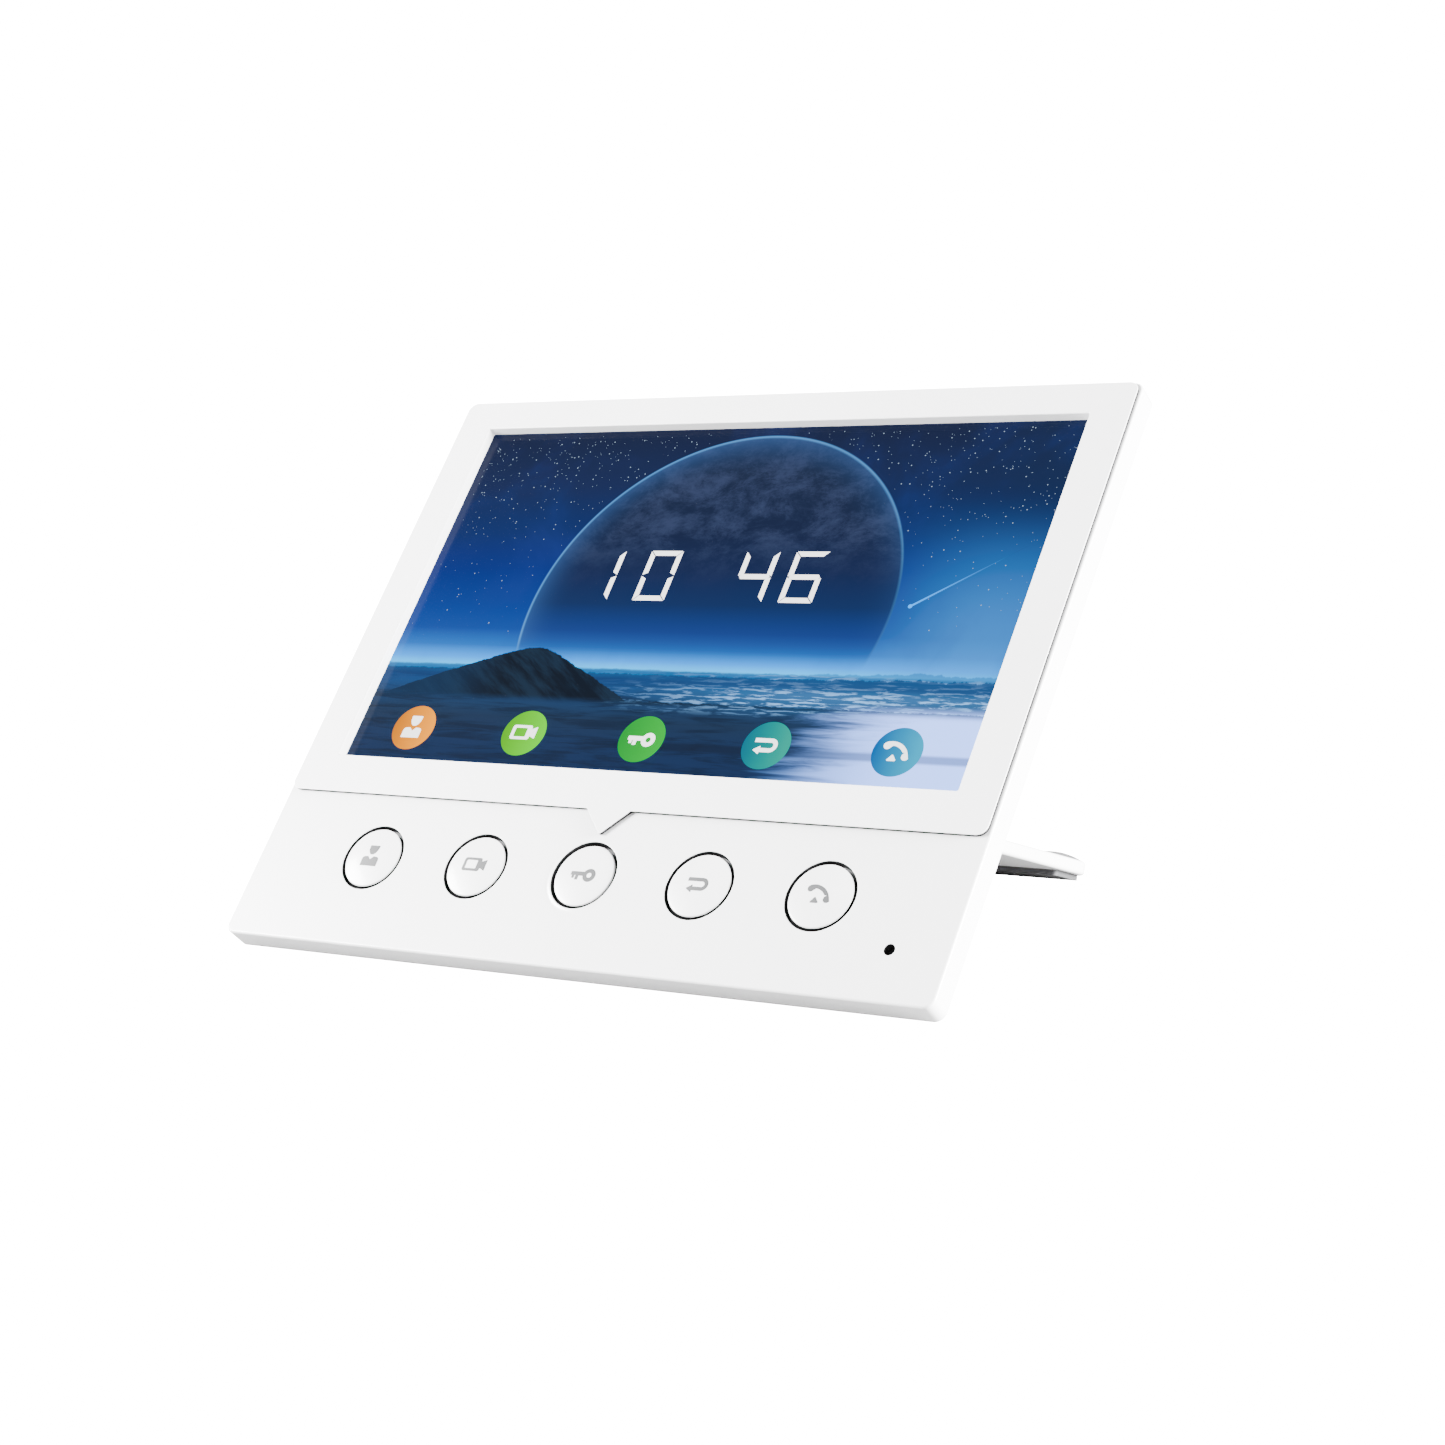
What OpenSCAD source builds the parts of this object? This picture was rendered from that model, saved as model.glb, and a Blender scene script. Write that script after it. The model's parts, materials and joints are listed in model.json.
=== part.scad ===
// Video intercom monitor: a seven-inch display above a row of five push keys, in a thin
// housing that leans back on a fold-out U-shaped stand.
// X runs to the right, Y away from the user and Z up. The origin is on the table, at the
// middle of the whole object. Panel parts are drawn flat, with x to the right, y up the
// face and z out of the face (z = 0 on the front of the display bezel), and on_panel()
// leans them back. Stand parts are drawn folded, from their hinge axis.

/* [Housing] */
// Width of the housing
housing_w = 174.3; // [173.6:0.1:180]
// Height of the housing along its face
housing_h = 143; // [142.6:0.1:150]
// Corner radius of the housing
corner_r = 3; // [2.5:0.1:5]
// Distance from the bezel front to the back rim of the front housing
shell_depth = 6.3; // [6:0.1:6.6]
// Thickness of the moulded walls
wall = 1.6; // [1.4:0.1:1.8]
// Distance from the bezel front to the rearmost face
total_depth = 22; // [22:0.1:24]
// Lean of the panel from upright, in degrees
lean = 43.1; // [40:0.1:46]

/* [Display] */
// Width of the display bezel
bezel_w = 172.9; // [171:0.1:173.4]
// Lowest edge of the display bezel above the bottom of the housing
bezel_bottom = 35.8; // [35:0.1:36.5]
// Height of the bezel plate above the key panel
bezel_step = 0.82; // [0.6:0.01:1.2]
// Width of the pointed tab on the bezel's lower edge
tab_w = 10.92; // [8:0.01:12]
// Length of the pointed tab
tab_l = 5.8; // [4:0.1:6]
// Width of the display window
window_w = 155; // [150:0.1:156]
// Height of the display window
window_h = 89.8; // [86:0.1:90]
// Lower edge of the display window above the bottom of the housing
window_bottom = 45; // [44.5:0.1:46]
// Depth of the display glass below the bezel front
window_depth = 2.28; // [2.1:0.01:2.5]

/* [Keys] */
// Distance between neighbouring keys
key_pitch = 27.87; // [26:0.01:29]
// Height of the key centres above the bottom of the housing
key_y = 20.8; // [20:0.1:21.4]
// Radius of a key cap
key_r = 7.1; // [6.5:0.05:7.2]
// Gap between a key cap and its hole
key_gap = 0.35; // [0.25:0.05:0.45]
// Rise of the domed face of a key cap
key_rise = 0.5; // [0.3:0.05:0.6]
// Radius of the microphone hole
mic_hole_r = 1.2; // [0.8:0.1:1.5]

/* [Stand] */
// Height of the stand hinge along the panel
hinge_y = 48; // [47.5:0.1:49]
// Depth of the stand hinge behind the bezel front
hinge_depth = 19.4; // [19.3:0.1:19.6]
// Angle that the stand opens from its folded place, in degrees
open_angle = 66.3; // [64:0.1:68]
// Width of the stand
stand_w = 120.7; // [116:0.1:121]
// Length of the stand from its hinge axis
stand_l = 74; // [72:0.1:75]
// Thickness of the stand
stand_t = 3.1; // [2.8:0.1:3.2]
// Width of each arm of the stand
arm_w = 20; // [18:0.1:20.4]
// Radius of the hinge pins
pin_r = 1.5; // [1.2:0.05:1.5]

/* [Hidden] */
KEYS = ["contact", "camera", "unlock", "back", "hangup"];

$fn = 64;
thin = 0.05;
far = 400;

// Panel levels, measured out of the face from the bezel front
face_z = -bezel_step;
skin = 2;
inner_z = face_z - skin;
glass_z = -window_depth;
glass_t = 1.1;
cell_z = glass_z - glass_t;
cell_t = 2;
module_back = -8.4;
rim_z = -shell_depth;
base_back = -11;
plate_front = -8.5;
plate_t = 0.8;
board_front = -10.6;
board_t = 1.6;
board_back = board_front - board_t;
back_z = -total_depth;
back_in = back_z + wall;

// Outlines: [left, right, bottom, top]
housing_box = [-housing_w/2, housing_w/2, 0, housing_h];
bezel_box = [-bezel_w/2, bezel_w/2, bezel_bottom, housing_h - 0.55];
window_box = [-window_w/2, window_w/2, window_bottom, window_bottom + window_h];
bulge_box = [-76, 76, 3, 129.5];
module_box = [-82.5, 82.5, 38.8, 138.8];
bezel_r = 2.25;
collar_t = 1.6;
glass_rim = 3.9;
rebate_z = -1.78;

// Keys
key_xs = [for (i = [-2:2]) i*key_pitch];
cap_bottom = inner_z - 0.08;
flange_r = key_r + 1.15;
flange_t = 0.8;
stem_r = 1.8;
stem_end = -5;
icon_floor = face_z - 0.1;
mic_at = [74.3, 11];
switch_top = -5.9;
key_board_front = -8;
key_board_t = 1.2;
key_posts = [[-66, 12], [66, 12], [-66, 30], [66, 30], [-1.5*key_pitch, 31], [1.5*key_pitch, 31]];
plate_posts = [[-72, 36.2], [-40, 36.2], [40, 36.2], [72, 36.2]];
screw_posts = [[-79, 20], [79, 20], [-79, 34], [79, 34]];
bezel_pins = [[-62, 38.3], [-14, 38.3], [14, 38.3], [62, 38.3]];
standoffs = [[-60, 50], [60, 50], [-60, 112], [60, 112]];

// Back of the housing
recess_z = -16.4;
recess_box = [-61.4, 61.4, 43, 125];
island_x = 39.3;
island_top = 101.2;
bay_box = [-34, 34, 19, 43.2];
wall_holes = [[-30, 64], [30, 64]];
wall_hole_r = 1.25;
speaker_at = [0, 82];
speaker_r = 16;
socket_box = [-20, -4, 43.5, 58.7];
terminal_box = [1.6, 31, 43.5, 53];
foot_r = 5.5;
foot_gap = 1.5;
foot_x = 52;
foot_y = 18.6;
lug_x = 42;
lug_w = 3;
lug_l = 4.8;
lug_t = 2.4;
knuckle_r = 2.5;
pin_from = 34.6;
pin_to = 66.4;
inlet_wall = 1.5;

// Lift that sets the housing's lower back edge just above the table
edge_clear = 0.3;
lift = edge_clear + shell_depth*sin(lean);
hinge_z = -hinge_depth;
hinge_up = hinge_y*cos(lean) + hinge_z*sin(lean) + lift;
slope = open_angle - (90 - lean);
edge_f = 0.5;
y_front = edge_f*sin(lean) + (bezel_step + edge_f)*cos(lean) - edge_f;
y_hinge = hinge_y*sin(lean) + hinge_depth*cos(lean);
tip_f = 0.8;
y_back = y_hinge + (stand_l - tip_f)*cos(slope) + (stand_t/2 - tip_f)*sin(slope) + tip_f;
y_mid = (y_front + y_back)/2;

// Leans panel parts back and sets them on the table
module on_panel() translate([0, -y_mid, lift]) rotate([90 - lean, 0, 0]) children();

// Puts stand parts, drawn folded, in their open place
module on_stand() on_panel() translate([0, hinge_y, hinge_z]) rotate([-open_angle, 0, 0]) children();

// Everything below the level z, in the table's own frame
module below(z) translate([-far/2, -far/2, z - far]) cube([far, far, far]);

function grown(box, g) = [box[0] - g, box[1] + g, box[2] - g, box[3] + g];

module rounded_rect(box, r) {
    translate([box[0] + r, box[2]]) square([box[1] - box[0] - 2*r, box[3] - box[2]]);
    translate([box[0], box[2] + r]) square([box[1] - box[0], box[3] - box[2] - 2*r]);
    for (x = [box[0] + r, box[1] - r]) for (y = [box[2] + r, box[3] - r]) translate([x, y]) circle(r);
}

module block(box, z0, z1) {
    translate([box[0], box[2], z0]) cube([box[1] - box[0], box[3] - box[2], z1 - z0]);
}

module slab(box, r, z0, z1) translate([0, 0, z0]) linear_extrude(z1 - z0) rounded_rect(box, r);

// Levels [z, inset] of a quarter-round edge of radius f ending at z; side is 1 on the front
function edge_round(z, f, side) = [for (a = [0:30:90]) [z - side*f*(1 - sin(a)), f*(1 - cos(a))]];

// Convex body through the box's outline, drawn in by each level's inset
module loft(box, r, levels, leaf = thin) {
    top = max([for (l = levels) l[0]]);
    hull() for (l = levels) translate([0, 0, min(l[0], top - leaf)])
        linear_extrude(leaf) rounded_rect(grown(box, -l[1]), max(r - l[1], 0.4), $fn = 48);
}

module rod(at, r, z0, z1) translate([at[0], at[1], z0]) cylinder(r = r, h = z1 - z0);

module rods(points, r, z0, z1) for (p = points) rod(p, r, z0, z1);

// Cylinder along x, from x0 to x1, at height y and level z
module bar(x0, x1, y, z, r) translate([x0, y, z]) rotate([0, 90, 0]) cylinder(r = r, h = x1 - x0);

// Strip of width x0 to x1 with a side outline of [y, z] points
module strip(x0, x1, points) {
    translate([x0, 0, 0]) rotate([90, 0, 90]) linear_extrude(x1 - x0) polygon(points);
}

module posts(points, r, hole_r, z_end) {
    difference() {
        rods(points, r, z_end, inner_z + 0.4);
        rods(points, hole_r, z_end - 1, inner_z - 0.5);
    }
}

// ---- Front of the housing ----

module front_housing() color("white") on_panel() {
    difference() {
        union() {
            loft(housing_box, corner_r, concat([[rim_z, 0]], edge_round(face_z, edge_f, 1)));
            translate([0, key_y, face_z - 0.1]) cylinder(r1 = 9.1, r2 = 7.9, h = 0.35);
        }
        slab(grown(housing_box, -skin), corner_r - 1, rim_z - 1, inner_z);
        slab(grown(window_box, collar_t + 0.2), 1, inner_z - 1, 1);
        slab(grown(window_box, glass_rim + 0.3), 1, inner_z - 1, rebate_z);
        for (x = key_xs) rod([x, key_y], key_r + key_gap, inner_z - 1, 1);
        rod(mic_at, mic_hole_r, inner_z - 1, 1);
        rods(bezel_pins, 1.1, inner_z - 1, 1);
    }
    posts(screw_posts, 2.8, 1.1, -9.4);
    posts(key_posts, 2.2, 0.8, key_board_front);
    posts(plate_posts, 1.9, 0.8, plate_front);
}

// Outline of the pointed tab, drawn in by e
module tab_outline(e) {
    side = atan(tab_w/2/tab_l);
    tip = bezel_bottom - tab_l + e/sin(side);
    top = bezel_bottom + 2;
    half = (top - tip)*tan(side);
    polygon([[-half, top], [0, tip], [half, top]]);
}

module display_bezel() color("white") on_panel() {
    edge = 0.25;
    difference() {
        union() {
            loft(bezel_box, bezel_r, concat([[face_z, 0]], edge_round(0, edge, 1)));
            hull() for (l = concat([[face_z, 0]], edge_round(0, edge, 1)))
                translate([0, 0, min(l[0], -thin)]) linear_extrude(thin) tab_outline(l[1]);
            slab(grown(window_box, collar_t), 1, glass_z, face_z + 0.1);
        }
        slab(window_box, 0.4, glass_z - 1, 1);
        loft(window_box, 0.4, [[-0.2, 0], [0, -0.2], [0.2, -0.4]]);
    }
    rods(bezel_pins, 1.08, inner_z, face_z + 0.2);
}

module lens_gasket() color("dimgray") on_panel() difference() {
    slab(grown(window_box, glass_rim), 1, glass_z, rebate_z);
    slab(grown(window_box, collar_t + 0.3), 1, glass_z - 1, 0);
}

module display_lens() color([0.05, 0.12, 0.3]) on_panel() {
    slab(grown(window_box, glass_rim), 1, cell_z, glass_z);
}

module lcd_cell() color("midnightblue") on_panel() {
    block(grown(module_box, -2.6), cell_z - cell_t, cell_z);
}

module lcd_frame() color("silver") on_panel() difference() {
    block(module_box, module_back, cell_z);
    block(grown(module_box, -2.4), module_back - 1, cell_z + 1);
}

module backlight_unit() color("whitesmoke") on_panel() {
    block(grown(module_box, -2.6), module_back, cell_z - cell_t);
}

module display_flex() color("orange") on_panel() {
    y0 = module_box[2];
    strip(-56, -43.4, [[y0, -5.2], [y0 - 1, -6], [y0 - 1, -9.8], [44.6, board_back],
                       [51, board_back], [51, board_back - 0.3], [44.4, board_back - 0.3],
                       [y0 - 1.3, -10], [y0 - 1.3, -5.8], [y0, -4.9]]);
}

module chassis_plate() color("lightgray") on_panel() difference() {
    slab([-75.5, 75.5, 33.8, 138.2], 2, plate_front - plate_t, plate_front);
    slab([-57.5, -42.4, 30, 40], 1, plate_front - 2, plate_front + 1);
    for (x = [-56, 56]) slab([x - 5, x + 5, 58, 104], 4, plate_front - 2, plate_front + 1);
    rods(plate_posts, 1, plate_front - 2, plate_front + 1);
}

// Cross-head screws: head behind z_head, shank of radius r forward to z_tip
module screws(points, r, z_tip, z_head, head_r, head_h) for (p = points) difference() {
    union() {
        rod(p, r, z_head - head_h/2, z_tip);
        rod(p, head_r, z_head - head_h, z_head);
    }
    translate([p[0], p[1], z_head - head_h - 1]) linear_extrude(1 + head_h*0.6) {
        square([head_r*1.1, head_r*0.28], center = true);
        square([head_r*0.28, head_r*1.1], center = true);
    }
}

module plate_screws() color("dimgray") on_panel() {
    screws(plate_posts, 0.78, -4, plate_front - plate_t, 1.6, 0.6);
}

// ---- Keys, microphone and key board ----

module icon_contact() translate([-0.1, 0]) {
    polygon([[-1.35, 2.65], [1.35, 2.65], [1.2, 1.5], [0.8, 0.8], [0.35, 0.42],
             [-0.35, 0.42], [-0.8, 0.8], [-1.2, 1.5]]);
    difference() {
        union() {
            translate([0, -2.3]) square([4.4, 3], center = true);
            translate([-1.6, -0.8]) square([3.2, 0.8]);
            for (x = [-1.5, 1.5]) translate([x, -0.8]) circle(0.7);
        }
        translate([-3, -4]) square([6, 1.7]);
        polygon([[-0.75, 0.1], [0, -0.75], [0.75, 0.1]]);
    }
}

module icon_camera() translate([0, 0.15]) {
    difference() {
        rounded_rect([-3, 1.55, -1.55, 1.6], 0.6);
        rounded_rect([-2.4, 0.65, -1.1, 1.15], 0.25);
    }
    polygon([[1.2, 0.75], [2.85, 1.35], [2.85, -1.3], [1.2, -0.7]]);
}

module icon_unlock() {
    difference() {
        translate([1.55, -0.1]) circle(1.5);
        translate([1.55, -0.1]) circle(0.62);
    }
    translate([-3.05, -0.25]) square([3.25, 0.8]);
    translate([-2.65, -0.95]) square([0.65, 1]);
    translate([-1.75, -1.3]) square([0.8, 1.3]);
}

module icon_back() {
    translate([-2.6, 0.7]) square([3.6, 0.72]);
    translate([-1.3, -1.38]) square([2.3, 0.72]);
    translate([0.95, 0.02]) intersection() {
        difference() {
            circle(1.4);
            circle(0.68);
        }
        translate([0, -2]) square([2, 4]);
    }
    polygon([[-2.55, -1.02], [-1.05, -0.1], [-1.05, -1.94]]);
}

module icon_hangup() {
    intersection() {
        translate([-1.51, -1.91]) difference() {
            circle(4.05);
            circle(3.2);
        }
        polygon([[-1.51, -1.91], [3.9, -0.36], [4.6, 3.6], [-0.5, 4.6], [-2.75, 3.1]]);
    }
    translate([-2.3, 1.25]) circle(0.8);
    translate([1.9, -0.9]) circle(0.8);
    polygon([[-1.8, -1.85], [0.4, -1.85], [-0.7, -0.45]]);
}

module icon_outline(i) {
    if (i == 0) icon_contact();
    if (i == 1) icon_camera();
    if (i == 2) icon_unlock();
    if (i == 3) icon_back();
    if (i == 4) icon_hangup();
}

// Body of radius r under the domed face of a key cap
module dome(r, bottom) {
    rim = key_r - 0.3;
    dome_r = (rim*rim + key_rise*key_rise)/(2*key_rise);
    translate([0, 0, face_z]) rotate_extrude($fn = 128) intersection() {
        translate([0, key_rise - dome_r]) circle(dome_r, $fn = 1024);
        translate([0, bottom]) square([r, 3]);
    }
}

// Whole cap, before its icon is let in
module cap_blank() {
    f = 0.3;
    h = face_z - cap_bottom;
    translate([0, 0, cap_bottom]) rotate_extrude() {
        square([key_r - f, h]);
        square([key_r, h - f]);
        intersection() {
            translate([key_r - f, h - f]) circle(f);
            square([key_r + 1, h + 1]);
        }
    }
    dome(key_r - f, -0.4);
}

module icon_prism(i) translate([0, 0, icon_floor]) linear_extrude(1.5) icon_outline(i);

module key_cap(i) color("white") on_panel() translate([key_xs[i], key_y, 0]) difference() {
    cap_blank();
    icon_prism(i);
}

module key_icon(i) color("silver") on_panel() translate([key_xs[i], key_y, 0]) intersection() {
    dome(5, -0.5);
    icon_prism(i);
}

module key_carrier(i) color("dimgray") on_panel() translate([key_xs[i], key_y, 0]) {
    translate([0, 0, cap_bottom - flange_t]) cylinder(r = flange_r, h = flange_t);
    translate([0, 0, stem_end]) cylinder(r = stem_r, h = cap_bottom - flange_t - stem_end);
    translate([0, 0, -6.6]) cylinder(r = 1.7, h = 1.8);
}

module tact_switches() color("black") on_panel() for (x = key_xs) difference() {
    block([x - 3.1, x + 3.1, key_y - 3.1, key_y + 3.1], key_board_front, switch_top);
    rod([x, key_y], 1.78, -7.3, switch_top + 1);
}

module key_board() color("darkgreen") on_panel() difference() {
    slab([-69, 69, 9, 33], 1.5, key_board_front - key_board_t, key_board_front);
    rods(key_posts, 1, key_board_front - 2, key_board_front + 1);
}

module key_board_screws() color("silver") on_panel() {
    screws(key_posts, 0.78, -4.5, key_board_front - key_board_t, 1.7, 0.25);
}

module key_flex() color("orange") on_panel() {
    strip(44, 55, [[26, -9.2], [33, -9.4], [44.6, board_back], [51, board_back],
                   [51, board_back - 0.3], [44.4, board_back - 0.3], [33, -9.7], [26, -9.5]]);
}

module mic_boot() color("dimgray") on_panel() difference() {
    rod(mic_at, 4.2, -7.2, inner_z);
    rod(mic_at, 3.02, -8, inner_z - 0.9);
    rod(mic_at, 1, -4, inner_z + 1);
}

module microphone() color("silver") on_panel() {
    rod(mic_at, 3, -6.6, inner_z - 0.9);
    for (s = [-1, 1]) rod([mic_at[0] + s*1.2, mic_at[1]], 0.35, -8, -6.4);
}

// ---- Electronics ----

module main_board() color("darkgreen") on_panel() difference() {
    slab([-66, 66, 45.2, 118], 2, board_back, board_front);
    block(grown(socket_box, 0.2), board_back - 1, board_front + 1);
    rods(standoffs, 1.4, board_back - 1, board_front + 1);
}

module board_standoffs() color("gold") on_panel() difference() {
    rods(standoffs, 2.6, board_front, plate_front - plate_t);
    rods(standoffs, 1.22, board_front - 1, plate_front);
}

module board_screws() color("silver") on_panel() {
    screws(standoffs, 1.2, plate_front - plate_t - 0.1, board_back, 2.4, 1.1);
}

module board_components() color([0.12, 0.12, 0.14]) on_panel() {
    block([-36, -24, 78, 90], board_back - 1.1, board_back);
    block([24, 36, 74, 84], board_back - 1.1, board_back);
    block([24, 34, 88, 96], board_back - 1.1, board_back);
    block([48, 58, 66, 76], board_back - 2, board_back);
    block([-18, -6, 104, 114], board_back - 1.6, board_back);
    for (x = [-14, -6, 2]) rod([x, 62.8], 2.9, board_back - 5.6, board_back);
    for (i = [0:5]) block([-34 + i*12, -31 + i*12, 99, 101.4], board_back - 0.8, board_back);
}

module processor_shield() color("silver") on_panel() difference() {
    block([-62, -42, 62, 92], board_back - 2.1, board_back);
    block([-61.7, -42.3, 62.3, 91.7], board_back - 1.8, board_back + 1);
}

module network_socket() color("gray") on_panel() difference() {
    block(socket_box, -20.2, -9.8);
    block([-17.9, -6.1, socket_box[2] - 1, 56], -18.2, -11.3);
    block([-15, -9, socket_box[2] - 1, 56], -19.5, -18);
}

module socket_contacts() color("gold") on_panel() for (i = [0:7]) {
    x = -15.5 + i*1.02;
    strip(x, x + 0.35, [[46, -11.3], [55.8, -11.3], [55.8, -11.8], [54.5, -11.8], [47.5, -13], [46, -11.6]]);
}

function wire_x(i) = terminal_box[0] + 2.45 + i*3.5;

module terminal_block() color("darkgreen") on_panel() difference() {
    block(terminal_box, -19.6, board_back);
    for (i = [0:7]) {
        translate([wire_x(i), terminal_box[2] - 1, -17.3]) rotate([-90, 0, 0]) cylinder(r = 1.1, h = 7.5);
        block([wire_x(i) - 0.9, wire_x(i) + 0.9, terminal_box[2] - 1, 46.5], -14.6, -13.6);
    }
}

module terminal_clamps() color("gold") on_panel() for (i = [0:7]) {
    block([wire_x(i) - 0.7, wire_x(i) + 0.7, 48.4, 50], -17.7, -16.9);
}

// ---- Loudspeaker ----

module ring(at, r_out, r_in, z0, z1) difference() {
    rod(at, r_out, z0, z1);
    rod(at, r_in, z0 - 1, z1 + 1);
}

module speaker_gasket() color("dimgray") on_panel() {
    ring(speaker_at, speaker_r, speaker_r - 2, back_in, back_in + 0.5);
}

module speaker_basket() color("silver") on_panel() difference() {
    union() {
        rod(speaker_at, speaker_r, back_in + 0.5, back_in + 2.1);
        rod(speaker_at, 10.5, back_in + 2, back_in + 3.3);
    }
    rod(speaker_at, speaker_r - 1.8, back_in, back_in + 1.6);
    rod(speaker_at, 7, back_in, back_in + 2.8);
}

module speaker_magnet() color("dimgray") on_panel() {
    rod(speaker_at, 8.5, back_in + 3.3, back_in + 6.6);
}

module speaker_cone() color("black") on_panel() {
    translate([speaker_at[0], speaker_at[1], back_in]) rotate_extrude() {
        polygon([[0, 0.75], [5, 1], [6, 1.2], [11, 0.75], [13, 0.75], [14, 1], [14, 1.25],
                 [12.6, 1.1], [11, 1.1], [6, 1.55], [5, 1.35], [0, 1.1]]);
    }
}

module speaker_lead() color("red") on_panel() {
    strip(-1.2, 1.2, [[98, -17.2], [99, -17.2], [99, board_back - 1], [103.4, board_back],
                      [102.4, board_back], [98.4, board_back - 0.6], [98, -16]]);
}

// ---- Back of the housing ----

// U-shaped hollow for the folded stand, its sides grown by g
module stand_recess(g, z0, z1) translate([0, 0, z0]) linear_extrude(z1 - z0) difference() {
    rounded_rect(grown(recess_box, g), 3 + g);
    rounded_rect([-island_x + g, island_x - g, 20, island_top - g], 4 - g);
}

// Local deeper slots that the stop lugs of the stand turn in
module lug_slots(g, z0) for (s = [-1, 1]) {
    x = s*(lug_x + lug_w/2);
    block([x - lug_w/2 - 0.5 - g, x + lug_w/2 + 0.5 + g, 42.6 - g, hinge_y + 0.35 + g], z0, back_z + 1);
}

module rear_outer() {
    back_edge = [for (l = edge_round(back_z, 1.5, -1)) [l[0], l[1] + 1.5]];
    loft(housing_box, corner_r, [[rim_z, 0.15], [-10.4, 3.6], [base_back, 4.6]]);
    loft(bulge_box, 8, concat([[-9.6, 0]], back_edge));
}

module rear_hollow() {
    loft(grown(housing_box, -wall), corner_r, [[rim_z + 0.5, 0.15], [-9.5, 3.1]]);
    loft(grown(bulge_box, -wall), 6.5, [[-9, 0], [back_in, 1.5]]);
}

// Solid walls and bosses left standing inside the hollow
module rear_inner_walls() {
    stand_recess(wall, back_z, recess_z + wall);
    slab(grown(bay_box, inlet_wall), 1, back_z, base_back + inlet_wall);
    rods(wall_holes, 3.5, back_z, -13.6);
    for (s = [-1, 1]) {
        bar(s > 0 ? 33.6 : -39.9, s > 0 ? 39.9 : -33.6, hinge_y, hinge_z, 3.2);
        bar(s > 0 ? 61 : -67.6, s > 0 ? 67.6 : -61, hinge_y, hinge_z, 3.2);
        x = s*(lug_x + lug_w/2);
        block([x - 3.4, x + 3.4, 41.2, hinge_y + 1.9], back_z, -12.9);
    }
    ring(speaker_at, speaker_r + 1.4, speaker_r + 0.15, back_z, back_in + 2.4);
}

module vent_slots() {
    for (s = [-1, 1]) for (y = [60:4.5:114])
        slab([s*69 - 4, s*69 + 4, y - 0.8, y + 0.8], 0.7, back_z - 1, back_in + 1);
}

module speaker_slots() for (i = [-3:3]) {
    half = sqrt(13*13 - i*i*3.6*3.6);
    y = speaker_at[1] + i*3.6;
    slab([-half, half, y - 0.8, y + 0.8], 0.7, back_z - 1, back_in + 0.4);
}

module rear_cuts() {
    stand_recess(0, back_z - 1, recess_z);
    lug_slots(0, -14.2);
    slab(bay_box, 1, back_z - 1, base_back);
    block([socket_box[0] - 0.2, socket_box[1] + 0.2, 42, socket_box[3]], -20.4, -9.6);
    block([terminal_box[0] - 0.2, terminal_box[1] + 0.2, 42, terminal_box[3]], -19.8, board_back + 0.2);
    rods(wall_holes, wall_hole_r, back_z - 1, -14.5);
    for (s = [-1, 1]) bar(s > 0 ? 30 : -pin_to, s > 0 ? pin_to : -30, hinge_y, hinge_z, pin_r);
    slab([-24, 24, 47, 59.5], 1.5, back_z - 1, back_z + 0.4);
    rods(screw_posts, 1.45, base_back - 1, -9);
    rods(screw_posts, 2.7, base_back - 2, base_back + 0.7);
    vent_slots();
    speaker_slots();
}

module rear_housing() color("white") difference() {
    union() {
        difference() {
            on_panel() rear_outer();
            below(foot_gap);
            difference() {
                on_panel() rear_hollow();
                below(foot_gap + wall);
                on_panel() rear_inner_walls();
            }
        }
        on_panel() for (x = [-60, 0, 60]) block([x - 6, x + 6, 139.4, 140.8], rim_z - 1.4, rim_z + 1.6);
    }
    on_panel() rear_cuts();
    for (s = [-1, 1]) translate([s*foot_x, foot_y - y_mid, 0]) cylinder(r = foot_r + 0.1, h = foot_gap + 0.6);
}

module housing_screws() color("dimgray") on_panel() {
    screws(screw_posts, 1.08, -5, base_back + 0.7, 2.5, 1.5);
}

module rating_plate() color("gainsboro") on_panel() {
    slab([-23.8, 23.8, 47.2, 59.3], 1.3, back_z + 0.05, back_z + 0.4);
}

module front_feet() color("dimgray") for (s = [-1, 1]) translate([s*foot_x, foot_y - y_mid, 0]) {
    cylinder(r = foot_r, h = foot_gap + 0.6);
}

// ---- Stand ----

module hinge_pins() color("silver") on_panel() for (s = [-1, 1]) {
    bar(s > 0 ? pin_from : -pin_to, s > 0 ? pin_to : -pin_from, hinge_y, hinge_z, pin_r - 0.01);
}

// Bar of the stand with rounded edges on both faces
module stand_bar(box, r) {
    loft(box, r, concat(edge_round(-stand_t/2, tip_f, -1), edge_round(stand_t/2, tip_f, 1)), 0.01);
}

module stand_frame() color("white") on_stand() {
    half = stand_w/2;
    difference() {
        union() {
            stand_bar([-half, half, stand_l - arm_w, stand_l], 4);
            for (s = [-1, 1]) {
                stand_bar(s > 0 ? [half - arm_w, half, 0, stand_l] : [-half, arm_w - half, 0, stand_l], 4);
                bar(s > 0 ? 39.9 : -60.8, s > 0 ? 60.8 : -39.9, 0, 0, knuckle_r);
                x = s*(lug_x + lug_w/2);
                block([x - lug_w/2, x + lug_w/2, -lug_l, 1], -lug_t/2, lug_t/2);
            }
        }
        for (s = [-1, 1]) bar(s > 0 ? 38 : -63, s > 0 ? 63 : -38, 0, 0, pin_r + 0.05);
        slab([-58.5, 58.5, 61.5, 72.4], 1, -stand_t/2 - 1, -stand_t/2 + 0.4);
        for (s = [-1, 1]) slab([s*57 - 2.9, s*57 + 2.9, 53, 70], 0.5, stand_t/2 - 0.3, stand_t/2 + 1);
    }
}

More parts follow.
